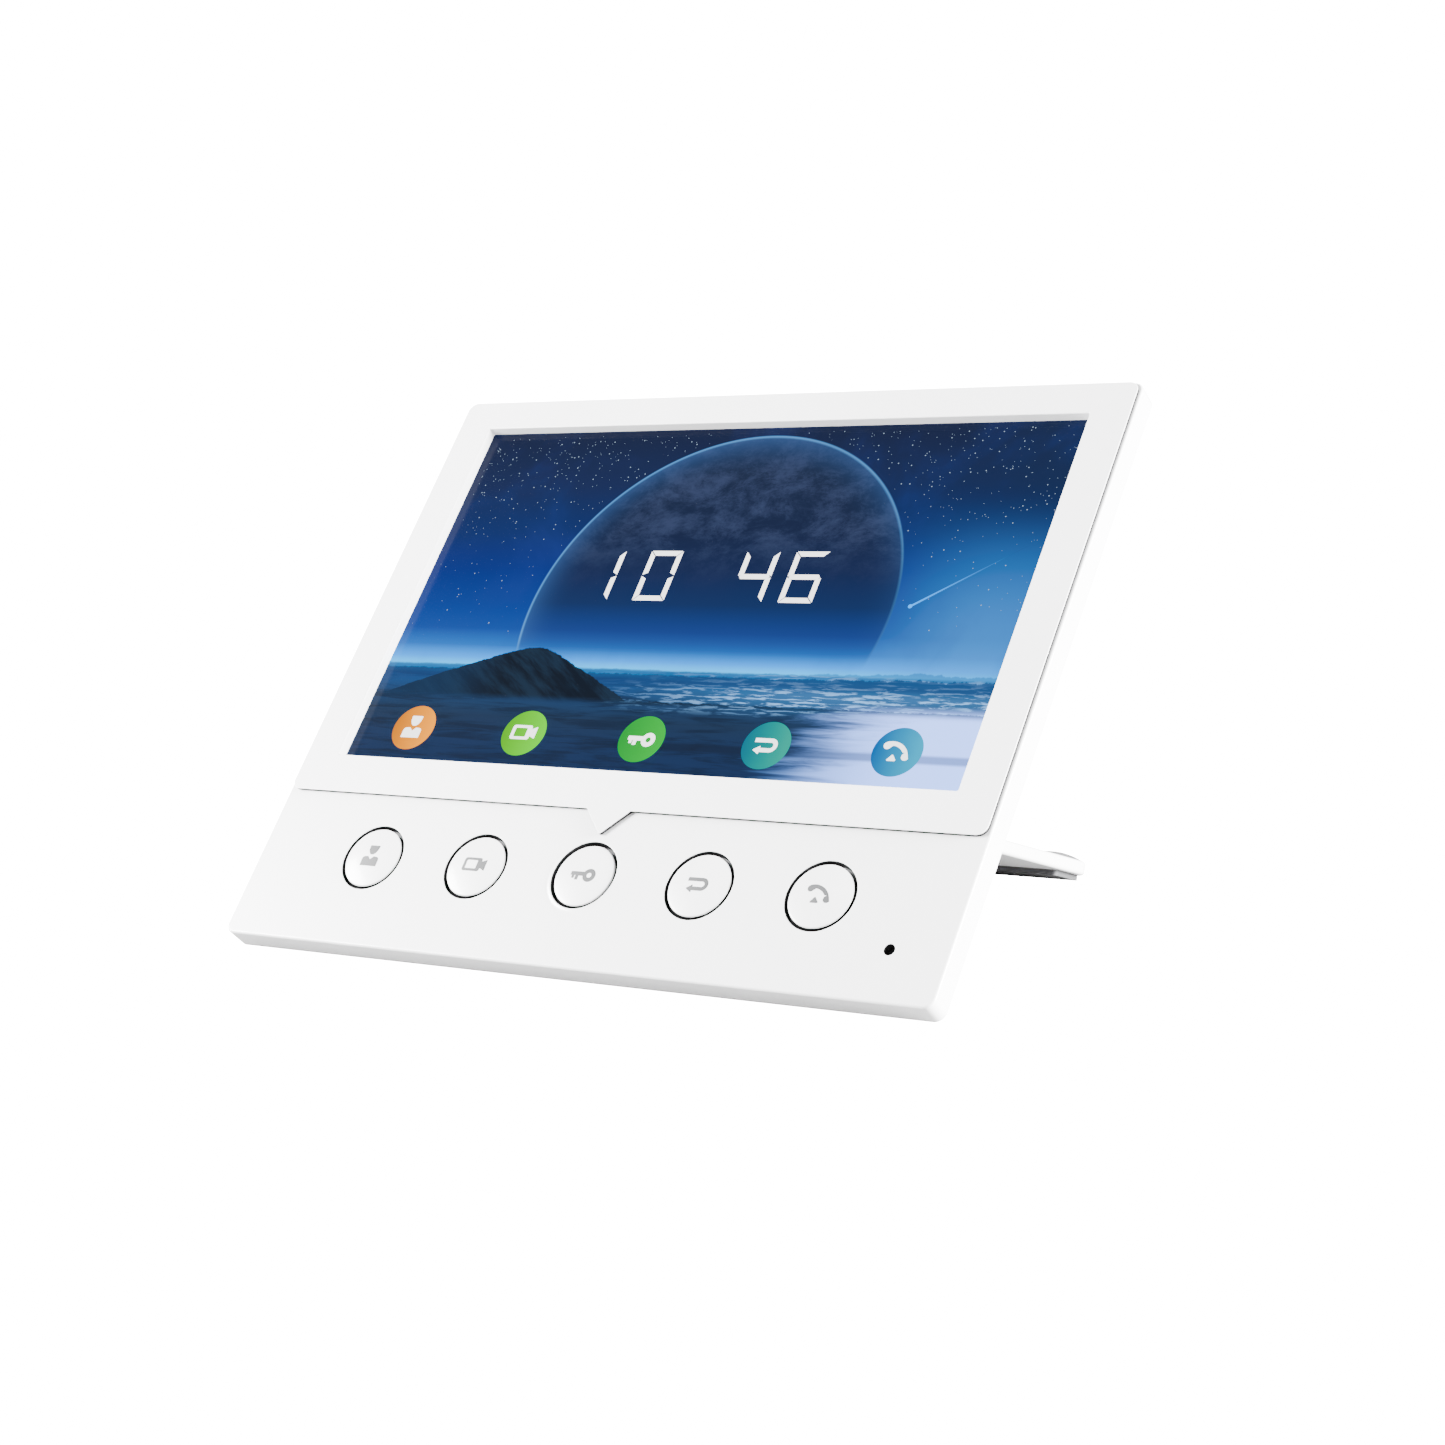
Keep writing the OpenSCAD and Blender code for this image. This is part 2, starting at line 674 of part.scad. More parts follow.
module stand_foot_strip() color("dimgray") difference() {
    on_stand() slab([-58.4, 58.4, 61.6, 72.3], 0.9, -stand_t/2 - 1.2, -stand_t/2 + 0.4);
    below(0);
}

module stand_bumpers() color("dimgray") on_stand() {
    rise = 0.6;
    half = 8.3;
    bump_r = (half*half + rise*rise)/(2*rise);
    for (s = [-1, 1]) {
        block([s*57 - 2.8, s*57 + 2.8, 53.2, 69.8], stand_t/2 - 0.3, stand_t/2);
        intersection() {
            block([s*57 - 2.8, s*57 + 2.8, 53.2, 69.8], stand_t/2, stand_t/2 + 1);
            bar(s*57 - 2.8, s*57 + 2.8, 61.5, stand_t/2 + rise - bump_r, bump_r, $fn = 256);
        }
    }
}

front_housing();
display_bezel();
lens_gasket();
display_lens();
lcd_cell();
lcd_frame();
backlight_unit();
display_flex();
chassis_plate();
plate_screws();
key_board();
key_board_screws();
tact_switches();
key_flex();
mic_boot();
microphone();
main_board();
board_standoffs();
board_screws();
board_components();
processor_shield();
network_socket();
socket_contacts();
terminal_block();
terminal_clamps();
speaker_gasket();
speaker_basket();
speaker_magnet();
speaker_cone();
speaker_lead();
rear_housing();
housing_screws();
rating_plate();
front_feet();
hinge_pins();
stand_frame();
stand_foot_strip();
stand_bumpers();
for (i = [0:4]) key_cap(i);
for (i = [0:4]) key_icon(i);
for (i = [0:4]) key_carrier(i);
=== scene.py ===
"""Looks of the video intercom monitor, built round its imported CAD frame.

Pieces are drawn in millimetres on the flat panel, as in the CAD source: x to the right, y up
the face, z out of the face with z = 0 on the front of the display bezel.
"""

import json
import math
import random

import bmesh
import bpy
from mathutils import Matrix, Vector
from mathutils.geometry import tessellate_polygon


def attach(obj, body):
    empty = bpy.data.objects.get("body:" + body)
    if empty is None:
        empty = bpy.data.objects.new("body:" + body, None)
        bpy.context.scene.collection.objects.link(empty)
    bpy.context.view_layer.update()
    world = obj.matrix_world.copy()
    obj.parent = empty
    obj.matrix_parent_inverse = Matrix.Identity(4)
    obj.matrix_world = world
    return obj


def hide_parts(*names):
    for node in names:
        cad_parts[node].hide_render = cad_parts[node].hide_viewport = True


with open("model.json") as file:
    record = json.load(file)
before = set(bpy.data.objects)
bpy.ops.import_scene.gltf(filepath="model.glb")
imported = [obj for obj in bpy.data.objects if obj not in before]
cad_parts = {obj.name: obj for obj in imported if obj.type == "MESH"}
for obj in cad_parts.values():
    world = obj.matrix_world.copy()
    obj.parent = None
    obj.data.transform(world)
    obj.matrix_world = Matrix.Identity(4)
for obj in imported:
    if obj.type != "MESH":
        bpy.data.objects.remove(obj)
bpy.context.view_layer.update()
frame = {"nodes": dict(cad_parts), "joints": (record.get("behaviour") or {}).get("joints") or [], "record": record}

MM = 0.001
JOINTS = {joint["name"]: joint for joint in frame["joints"]}

# The stand's hinge on the panel, and how far the stand is open at rest
HINGE = Vector((0, 48, -19.4))
OPEN_ANGLE = math.radians(66.3)

# Levels: key panel, inner side of it, display glass, back rim of the front shell
FACE = -0.82
INNER = -2.82
GLASS = -2.28
RIM = -6.3

# Boxes are (left, right, bottom, top)
HOUSING = (-87.15, 87.15, 0, 143)
HOUSING_CORNER = 2.3
BEZEL = (-86.45, 86.45, 35.8, 142.45)
BEZEL_CORNER = 2.25
TAB_HALF, TAB_LENGTH = 5.46, 5.8
WINDOW = (-77.5, 77.5, 45, 134.8)

# Keys: cap and hole radius, rounding of a cap's rim, rise of its dome, level of its underside
KEYS = ("contact", "camera", "unlock", "back", "hangup")
KEY_X = [27.87 * i for i in range(-2, 3)]
KEY_Y = 20.8
KEY_R = 6.95
HOLE_R = 7.7
KEY_EDGE = 0.3
RISE = 0.5
CAP_BACK = -2.9

MIC_AT, MIC_R = (74.3, 11), 1.2


def panel_matrix():
    """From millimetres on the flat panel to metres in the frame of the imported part."""
    inward = Vector(JOINTS["press_unlock"]["axis"]).normalized()
    across, out = Vector((1, 0, 0)), -inward
    up = out.cross(across)
    turn = Matrix((across, up, out)).transposed()
    at = Vector(JOINTS["stand_hinge"]["pos_m"]) - turn @ HINGE * MM
    return Matrix.Translation(at) @ turn.to_4x4() @ Matrix.Scale(MM, 4)


PANEL = panel_matrix()
STAND = PANEL @ Matrix.Translation(HINGE) @ Matrix.Rotation(-OPEN_ANGLE, 4, "X")


# ---- Outlines ----


def outline(points, radii, inset=0.0, steps=10):
    """Counterclockwise outline with rounded corners, drawn in by inset."""
    loop = []
    for i, corner in enumerate(points):
        corner = Vector(corner)
        before = (corner - Vector(points[i - 1])).normalized()
        after = (Vector(points[(i + 1) % len(points)]) - corner).normalized()
        left = (Vector((-before.y, before.x)), Vector((-after.y, after.x)))
        turn = math.atan2(before.x * after.y - before.y * after.x, before.dot(after))
        side = 1 if turn > 0 else -1
        radius = max(radii[i] - side * inset, 0.03)
        apex = corner + (left[0] + left[1]) * inset / (1 + left[0].dot(left[1]))
        start = apex - before * radius * math.tan(abs(turn) / 2)
        centre = start + left[0] * side * radius
        for step in range(steps + 1):
            swing = Matrix.Rotation(turn * step / steps, 2)
            loop.append(centre + swing @ (start - centre))
    return loop


def box_outline(box, radius, inset=0.0, steps=10):
    x0, x1, y0, y1 = box
    corners = [(x0, y0), (x1, y0), (x1, y1), (x0, y1)]
    return outline(corners, [radius] * 4, inset, steps)


def circle(x, y, radius, count=96):
    turns = [2 * math.pi * i / count for i in range(count)]
    return [Vector((x + radius * math.cos(a), y + radius * math.sin(a))) for a in turns]


def grown(box, by):
    return (box[0] - by, box[1] + by, box[2] - by, box[3] + by)


def quarter(radius, steps=7):
    """(drop below the face, inset) from the side wall to the face, round a quarter circle."""
    turns = [math.pi / 2 * i / steps for i in range(steps + 1)]
    return [(radius * (1 - math.sin(a)), radius * (1 - math.cos(a))) for a in turns]


# ---- Shells ----


class Shell:
    """Points and faces of one closed piece."""

    def __init__(self):
        # shaded holds the faces that take the painted gap shade
        self.points, self.faces, self.shaded = [], [], set()

    def ring(self, loop, z):
        """Adds a loop at level z, or a loop of full points if z is None."""
        start = len(self.points)
        self.points += [(p[0], p[1], p[2] if z is None else z) for p in loop]
        return list(range(start, len(self.points)))

    def band(self, a, b):
        for i, here in enumerate(a):
            after = (i + 1) % len(a)
            self.faces.append((here, a[after], b[after], b[i]))

    def bands(self, rings):
        for a, b in zip(rings, rings[1:]):
            self.band(a, b)

    def gap(self, rings):
        """Bands that line a narrow gap, in the piece's second material, which paints the shade that falls in the
        gap.
        """
        start = len(self.faces)
        self.bands(rings)
        self.shaded.update(range(start, len(self.faces)))

    def fill(self, outer, holes=()):
        """Fills a level ring, leaving its holes open."""
        loops = [outer, *holes]
        flat = [[Vector((*self.points[i][:2], 0)) for i in loop] for loop in loops]
        names = [i for loop in loops for i in loop]
        self.faces += [tuple(names[k] for k in three) for three in tessellate_polygon(flat)]

    def fan(self, ring):
        self.faces.append(tuple(ring))

    def lathe(self, x, y, profile, count=96, painted_shade_from=None):
        """Turns (radius, z) points into a closed body; both ends lie on the axis; bands from the given ring on are
        painted dark as the shade in a gap.
        """
        rings = [self.ring(circle(x, y, r, count), z) for r, z in profile[1:-1]]
        self.bands(rings[:painted_shade_from])
        if painted_shade_from:
            self.gap(rings[painted_shade_from - 1 :])
        for end, ring in ((profile[0], rings[0]), (profile[-1], rings[-1])):
            tip = self.ring([(x, y)], end[1])[0]
            for i, here in enumerate(ring):
                self.faces.append((here, ring[(i + 1) % count], tip))

    def tube(self, x, y, r_out, r_in, z0, z1, count=48):
        sizes = [(r_out, z0), (r_out, z1), (r_in, z1), (r_in, z0)]
        rings = [self.ring(circle(x, y, r, count), z) for r, z in sizes]
        self.bands([*rings, rings[0]])

    def prism(self, loop, z0, z1, holes=()):
        """Straight-sided body between two levels."""
        ends = []
        for z in (z0, z1):
            rings = [self.ring(part, z) for part in (loop, *holes)]
            self.fill(rings[0], rings[1:])
            ends.append(rings)
        for low, high in zip(*ends):
            self.band(low, high)

    def bar(self, x0, x1, y, z, r_out, r_in, count=48):
        """Tube along x, or a rod if r_in is 0."""
        rings = []
        for x, r in ((x0, r_in), (x0, r_out), (x1, r_out), (x1, r_in)):
            if r:
                spots = [(x, y + p.x, z + p.y) for p in circle(0, 0, r, count)]
                rings.append(self.ring(spots, None))
        self.bands([*rings, rings[0]] if r_in else rings)
        if not r_in:
            self.fan(rings[0])
            self.fan(rings[-1])


def place(name, shell, body, stands_for, material, matrix=PANEL, sharp=32):
    """Makes a shell into an object that rides on a CAD body."""
    mesh = bpy.data.meshes.new(name)
    mesh.from_pydata([matrix @ Vector(p) for p in shell.points], [], shell.faces)
    mesh.materials.append(material)
    # Faces in shaded get a second material, a near-black painted shade where shadow falls in gaps
    if shell.shaded:
        mesh.materials.append(MATERIALS["painted_gap_shade"])
    for i in shell.shaded:
        mesh.polygons[i].material_index = 1
    work = bmesh.new()
    work.from_mesh(mesh)
    bmesh.ops.remove_doubles(work, verts=work.verts, dist=1e-7)
    bmesh.ops.recalc_face_normals(work, faces=work.faces)
    work.to_mesh(mesh)
    work.free()
    mesh.shade_smooth()
    mesh.set_sharp_from_angle(angle=math.radians(sharp))
    piece = bpy.data.objects.new(name, mesh)
    bpy.context.scene.collection.objects.link(piece)
    weights = piece.modifiers.new("face_weights", "WEIGHTED_NORMAL")
    weights.keep_sharp = True
    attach(piece, body)
    if stands_for:
        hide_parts(*stands_for)
    return piece


# ---- Materials ----


class Nodes:
    """Short ways to write shader nodes."""

    def __init__(self, name):
        self.material = bpy.data.materials.new(name)
        self.material.use_nodes = True
        self.tree = self.material.node_tree
        self.shader = self.tree.nodes["Principled BSDF"]

    def put(self, socket, value):
        if isinstance(value, bpy.types.NodeSocket):
            self.tree.links.new(value, socket)
        else:
            socket.default_value = value

    def set(self, name, value):
        self.put(self.shader.inputs[name], value)

    def math(self, kind, *values):
        node = self.tree.nodes.new("ShaderNodeMath")
        node.operation = kind
        for socket, value in zip(node.inputs, values):
            self.put(socket, value)
        return node.outputs[0]

    def step(self, value, low, high, smooth=True):
        """0 at low and 1 at high."""
        node = self.tree.nodes.new("ShaderNodeMapRange")
        node.interpolation_type = "SMOOTHSTEP" if smooth else "LINEAR"
        self.put(node.inputs["Value"], value)
        if low <= high:
            node.inputs["From Min"].default_value = low
            node.inputs["From Max"].default_value = high
            return node.outputs[0]
        node.inputs["From Min"].default_value = high
        node.inputs["From Max"].default_value = low
        return self.math("SUBTRACT", 1.0, node.outputs[0])

    def mix(self, amount, a, b):
        node = self.tree.nodes.new("ShaderNodeMix")
        node.data_type = "RGBA"
        self.put(node.inputs[0], amount)
        self.put(node.inputs[6], colour(a))
        self.put(node.inputs[7], colour(b))
        return node.outputs[2]

    def ramp(self, value, stops):
        """stops are (place from 0 to 1, colour)."""
        node = self.tree.nodes.new("ShaderNodeValToRGB")
        self.put(node.inputs[0], value)
        marks = node.color_ramp.elements
        marks[0].position, marks[-1].position = stops[0][0], stops[-1][0]
        for at, _ in stops[1:-1]:
            marks.new(at)
        for mark, (_, shade) in zip(marks, stops):
            mark.color = colour(shade)
        return node.outputs[0]

    def vector(self, x, y, z=0.0):
        node = self.tree.nodes.new("ShaderNodeCombineXYZ")
        for socket, value in zip(node.inputs, (x, y, z)):
            self.put(socket, value)
        return node.outputs[0]

    def noise(self, scale, detail=3.0, rough=0.5, vector=None, warp=0.0):
        node = self.tree.nodes.new("ShaderNodeTexNoise")
        if vector is None:
            vector = self.tree.nodes.new("ShaderNodeTexCoord").outputs["Object"]
        self.put(node.inputs["Vector"], vector)
        node.inputs["Scale"].default_value = scale
        node.inputs["Detail"].default_value = detail
        node.inputs["Roughness"].default_value = rough
        node.inputs["Distortion"].default_value = warp
        return node.outputs["Fac"]

    def bump(self, height, distance, strength=1.0):
        node = self.tree.nodes.new("ShaderNodeBump")
        node.inputs["Distance"].default_value = distance
        node.inputs["Strength"].default_value = strength
        self.put(node.inputs["Height"], height)
        self.set("Normal", node.outputs[0])


def colour(value):
    """Three numbers become a colour socket's four; anything else passes through."""
    if isinstance(value, bpy.types.NodeSocket):
        return value
    return (*value[:3], 1.0)


# The AgX view that a render is shown through: its two matrices, and its range in stops
REC2020 = Matrix(((0.6274, 0.3293, 0.0433), (0.0691, 0.9195, 0.0113), (0.0164, 0.0880, 0.8956)))
AGX_IN = Matrix(((0.8566, 0.0951, 0.0483), (0.1373, 0.7612, 0.1014), (0.1119, 0.0768, 0.8113)))
AGX_OUT = Matrix(((1.1271, -0.1106, -0.0165), (-0.1413, 1.1578, -0.0165), (-0.1413, -0.1106, 1.2519)))
AGX_LOW, AGX_HIGH = -12.474, 4.026


def agx_curve(x):
    return ((((15.5 * x - 40.14) * x + 31.96) * x - 6.868) * x + 0.4298) * x * x + 0.1191 * x - 0.00232


def agx_light(level):
    """Light that the view's curve turns into a level."""
    low, high = 0.0, 1.0
    for _ in range(30):
        middle = (low + high) / 2
        low, high = (middle, high) if agx_curve(middle) < level else (low, middle)
    return 2 ** (low * (AGX_HIGH - AGX_LOW) + AGX_LOW)


def shown(red, green, blue):
    """Scene colour that a render shows as an 8-bit screen colour."""
    parts = [v / 255 for v in (red, green, blue)]
    linear = Vector([v / 12.92 if v < 0.04045 else ((v + 0.055) / 1.055) ** 2.4 for v in parts])
    levels = AGX_OUT.inverted() @ Vector([max(v, 0) ** (1 / 2.2) for v in REC2020 @ linear])
    light = REC2020.inverted() @ AGX_IN.inverted() @ Vector([agx_light(v) for v in levels])
    return tuple(max(v, 0.0) for v in light)


def plain(
    name, shade, rough, spread=0.08, grain=1800.0, depth=0.00001,
    tint=0.04, metal=0.0, coat=0.0, shine=0.5,
):
    """Moulded, painted or metal surface with mottled colour, uneven gloss and a fine grain."""
    n = Nodes(name)
    cloud = n.noise(60.0, 3.0)
    fine = n.noise(grain, 2.0)
    darker = tuple(c * (1 - tint) for c in shade)
    n.set("Base Color", n.mix(cloud, shade, darker))
    gloss = n.math("ADD", rough - spread / 2, n.math("MULTIPLY", fine, spread))
    n.set("Roughness", gloss)
    n.set("Metallic", metal)
    n.set("Specular IOR Level", shine)
    n.set("Coat Weight", coat)
    n.set("Coat Roughness", 0.08)
    n.bump(fine, depth, 0.35)
    return n.material


def brushed(name, shade, rough=0.32):
    """Rolled or drawn metal with fine streaks along x."""
    n = Nodes(name)
    where = n.tree.nodes.new("ShaderNodeTexCoord").outputs["Object"]
    stretch = n.tree.nodes.new("ShaderNodeMapping")
    n.put(stretch.inputs["Vector"], where)
    stretch.inputs["Scale"].default_value = (0.06, 1.0, 1.0)
    streaks = n.noise(2500.0, 3.0, 0.6, stretch.outputs[0])
    n.set("Base Color", n.mix(streaks, shade, tuple(c * 0.86 for c in shade)))
    n.set("Roughness", n.math("ADD", rough - 0.08, n.math("MULTIPLY", streaks, 0.16)))
    n.set("Metallic", 1.0)
    n.bump(streaks, 0.000008, 0.4)
    return n.material


# ---- The picture on the display ----

SKY = [
    (0.0, shown(154, 212, 235)), (0.03, shown(132, 192, 232)), (0.08, shown(86, 150, 206)),
    (0.15, shown(48, 110, 182)), (0.25, shown(28, 94, 172)), (0.4, shown(6, 74, 156)),
    (0.55, shown(20, 66, 132)), (0.75, shown(22, 56, 108)), (1.0, shown(22, 44, 84)),
]
PLANET_SHADE = [
    (0.0, shown(96, 164, 210)), (0.08, shown(62, 124, 186)), (0.15, shown(40, 92, 160)),
    (0.26, shown(22, 66, 122)), (0.4, shown(18, 52, 102)), (0.56, shown(20, 46, 88)),
    (0.8, shown(28, 52, 88)), (1.0, shown(44, 72, 112)),
]
GROUND = [
    (0.0, shown(26, 66, 112)), (0.3, shown(34, 72, 116)), (0.5, shown(38, 72, 108)),
    (0.7, shown(40, 88, 132)), (0.9, shown(52, 112, 166)), (1.0, shown(110, 178, 214)),
]
# Heights on the panel, and the planet's centre and radius
HORIZON = 71.0
TOP = 135.0
SHORE = 45.0
SAND_BAR = 52.6
PLANET = (1.2, 86.5, 46.1)
PICTURE_LIGHT = 1.0


def ripple(n, x, y, across, along, detail=5.0, rough=0.62):
    """Noise drawn out along x."""
    spot = n.vector(n.math("MULTIPLY", x, across), n.math("MULTIPLY", y, along))
    return n.noise(1.0, detail, rough, spot, 0.5)


def ground_colour(n, x, y):
    """Dark plain with long ripples, and light on the water at the right."""
    depth = n.step(y, SHORE, HORIZON, smooth=False)
    land = n.ramp(depth, GROUND)
    ripples = ripple(n, x, y, 0.05, 0.55)
    land = n.mix(n.math("MULTIPLY", n.step(ripples, 0.42, 0.66), 0.6), land, shown(12, 38, 68))
    pale = n.math("MULTIPLY", n.step(x, -16.0, 40.0), n.step(y, 60.0, 66.5))
    land = n.mix(n.math("MULTIPLY", pale, 0.6), land, shown(112, 160, 196))
    crests = ripple(n, x, y, 0.16, 1.5)
    rough_land = n.math("MULTIPLY", n.step(crests, 0.5, 0.6), n.step(y, 60.0, 64.0))
    rough_land = n.math("MULTIPLY", rough_land, n.step(x, -24.0, 34.0))
    land = n.mix(n.math("MULTIPLY", rough_land, 0.85), land, shown(180, 206, 226))
    from_bar = n.math("ABSOLUTE", n.math("SUBTRACT", y, SAND_BAR))
    shade = n.math("MULTIPLY", n.step(from_bar, 1.4, 0.5), n.step(x, -20.0, 6.0))
    land = n.mix(n.math("MULTIPLY", shade, 0.6), land, shown(18, 36, 62))
    shore = n.math("ADD", x, n.math("MULTIPLY", n.math("SUBTRACT", ripples, 0.5), 40.0))
    bank = n.math("SUBTRACT", shore, n.math("MULTIPLY", n.math("SUBTRACT", y, SHORE), 0.6))
    water = n.math("MULTIPLY", n.step(bank, 24.0, 50.0), n.step(y, 65.0, 61.0))
    water = n.math("MULTIPLY", water, n.math("SUBTRACT", 1.0, n.math("MULTIPLY", shade, 0.6)))
    return n.mix(water, land, n.mix(n.step(x, 24.0, 66.0), shown(120, 164, 204), shown(208, 222, 242)))


def sky_colour(n, x, y):
    """Night sky, paler towards the horizon and the right, with faint clouds of stars."""
    sky = n.ramp(n.step(y, HORIZON, TOP, smooth=False), SKY)
    glow = n.math("MULTIPLY", n.step(x, 34.0, 70.0), n.step(y, 118.0, 80.0))
    sky = n.mix(n.math("MULTIPLY", glow, 0.5), sky, shown(130, 184, 220))
    edge = n.math("MULTIPLY", n.step(x, 40.0, 78.0), n.step(y, 100.0, 120.0))
    sky = n.mix(n.math("MULTIPLY", edge, 0.4), sky, shown(16, 56, 98))
    haze = n.noise(0.035, 4.0, 0.6, n.vector(x, y), 0.4)
    return n.mix(n.math("MULTIPLY", n.step(haze, 0.45, 0.75), 0.25), sky, shown(60, 100, 172))


def planet_colour(n, x, y, sky):
    """Large pale-rimmed moon that fades out towards the horizon."""
    dx = n.math("SUBTRACT", x, PLANET[0])
    dy = n.math("SUBTRACT", y, PLANET[1])
    out = n.math("SQRT", n.math("ADD", n.math("MULTIPLY", dx, dx), n.math("MULTIPLY", dy, dy)))
    inside = n.step(out, PLANET[2] + 0.15, PLANET[2] - 0.35)
    shade = n.ramp(n.step(y, HORIZON, TOP, smooth=False), PLANET_SHADE)
    clouds = n.noise(0.075, 10.0, 0.78, n.vector(x, n.math("MULTIPLY", y, 1.5)), 0.25)
    patches = n.math("MULTIPLY", n.step(clouds, 0.4, 0.66), n.step(y, 90.0, 110.0))
    shade = n.mix(n.math("MULTIPLY", patches, 0.85), shade, shown(74, 94, 130))
    lit = n.math("ADD", n.step(dx, 20.0, -36.0), n.math("MULTIPLY", n.step(dy, 0.0, 40.0), 0.6))
    lit = n.math("MINIMUM", n.math("ADD", lit, 0.25), 1.0)
    rim = n.math("POWER", n.step(out, PLANET[2] - 12.0, PLANET[2], smooth=False), 3.0)
    shade = n.mix(n.math("MULTIPLY", n.math("MULTIPLY", rim, lit), 0.42), shade, shown(96, 140, 186))
    edge = n.math("MULTIPLY", n.step(out, PLANET[2] - 0.9, PLANET[2] - 0.1), lit)
    shade = n.mix(n.math("MULTIPLY", edge, 0.4), shade, shown(170, 208, 232))
    return n.mix(n.math("MULTIPLY", inside, n.step(y, 72.0, 79.0)), sky, shade)


def ridge(n, x, level, rise, fine):
    """Uneven skyline that climbs by rise at the right edge."""
    along = n.noise(fine, 5.0, 0.65, n.vector(x, 3.0))
    height = n.math("ADD", 2.2, n.math("MULTIPLY", n.step(x, 14.0, 70.0), rise))
    return n.math("ADD", level, n.math("MULTIPLY", along, height))


def hill_top(n, x):
    """Skyline of the near hill: a long slope at the left and a shorter one at the right."""
    left = n.math("MULTIPLY", n.math("POWER", n.step(x, -74.0, -40.0, smooth=False), 0.9), 13.0)
    right = n.math("MULTIPLY", n.math("POWER", n.step(x, -9.0, -36.0, smooth=False), 0.95), 13.2)
    crest = n.math("SMOOTH_MIN", left, right, 3.0)
    return n.math("ADD", 63.2, crest)


def hills_colour(n, x, y, view):
    """Far ridges on the horizon and one dark hill at the left."""
    far = n.math("SUBTRACT", ridge(n, x, HORIZON - 1.2, 2.2, 0.14), y)
    far = n.math("MULTIPLY", n.step(far, -0.2, 0.2), n.step(y, 68.6, 70.2))
    view = n.mix(n.math("MULTIPLY", far, 0.6), view, shown(70, 138, 186))
    near = n.math("SUBTRACT", ridge(n, x, HORIZON - 2.2, 1.4, 0.3), y)
    near = n.math("MULTIPLY", n.step(near, -0.15, 0.3), n.step(y, 66.0, 68.5))
    view = n.mix(n.math("MULTIPLY", near, 0.8), view, shown(36, 92, 146))
    rough = n.noise(0.5, 6.0, 0.65, n.vector(x, y))
    top = n.math("ADD", hill_top(n, x), n.math("MULTIPLY", n.math("SUBTRACT", rough, 0.5), 1.3))
    hill = n.math("MULTIPLY", n.step(n.math("SUBTRACT", top, y), -0.1, 0.2), n.step(y, 61.6, 64.0))
    fold = n.math("ADD", n.math("MULTIPLY", x, 0.22), n.math("MULTIPLY", y, 0.3))
    streaks = n.noise(1.0, 5.0, 0.65, n.vector(fold, n.math("MULTIPLY", y, 0.1)))
    dark = n.mix(n.step(streaks, 0.38, 0.66), shown(8, 28, 50), shown(26, 60, 88))
    dark = n.mix(n.math("MULTIPLY", n.step(x, -42.0, -64.0), 0.7), dark, shown(22, 74, 116))
    return n.mix(hill, view, dark)


def picture():
    """Glossy display that shows a generic night landscape."""
    n = Nodes("display_picture")
    uv = n.tree.nodes.new("ShaderNodeUVMap")
    uv.uv_map = "millimetres"
    split = n.tree.nodes.new("ShaderNodeSeparateXYZ")
    n.put(split.inputs[0], uv.outputs[0])
    x, y = split.outputs[0], split.outputs[1]
    sky = sky_colour(n, x, y)
    sky = planet_colour(n, x, y, sky)
    view = n.mix(n.step(y, HORIZON - 0.5, HORIZON + 0.4), ground_colour(n, x, y), sky)
    view = hills_colour(n, x, y, view)
    n.set("Base Color", (0.0, 0.0, 0.0, 1.0))
    n.set("Specular IOR Level", 0.03)
    n.set("Roughness", n.math("ADD", 0.16, n.math("MULTIPLY", n.noise(90.0), 0.06)))
    n.set("Emission Color", view)
    n.set("Emission Strength", PICTURE_LIGHT)
    return n.material


def lit(name, shade, light=1.0, second=None, span=(-0.1, 0.1)):
    """Glowing mark on the display, shaded from one colour to another along x."""
    n = Nodes(name)
    n.set("Base Color", (0.0, 0.0, 0.0, 1.0))
    n.set("Specular IOR Level", 0.03)
    where = n.tree.nodes.new("ShaderNodeSeparateXYZ")
    n.put(where.inputs[0], n.tree.nodes.new("ShaderNodeTexCoord").outputs["Object"])
    shift = n.math("MULTIPLY", n.noise(240.0, 2.0), (span[1] - span[0]) * 0.15)
    uneven = n.math("ADD", where.outputs[0], shift)
    second = second or tuple(c * 0.9 for c in shade)
    n.set("Emission Color", n.mix(n.step(uneven, *span, smooth=False), shade, second))
    n.set("Emission Strength", light)
    n.set("Roughness", 0.12)
    return n.material


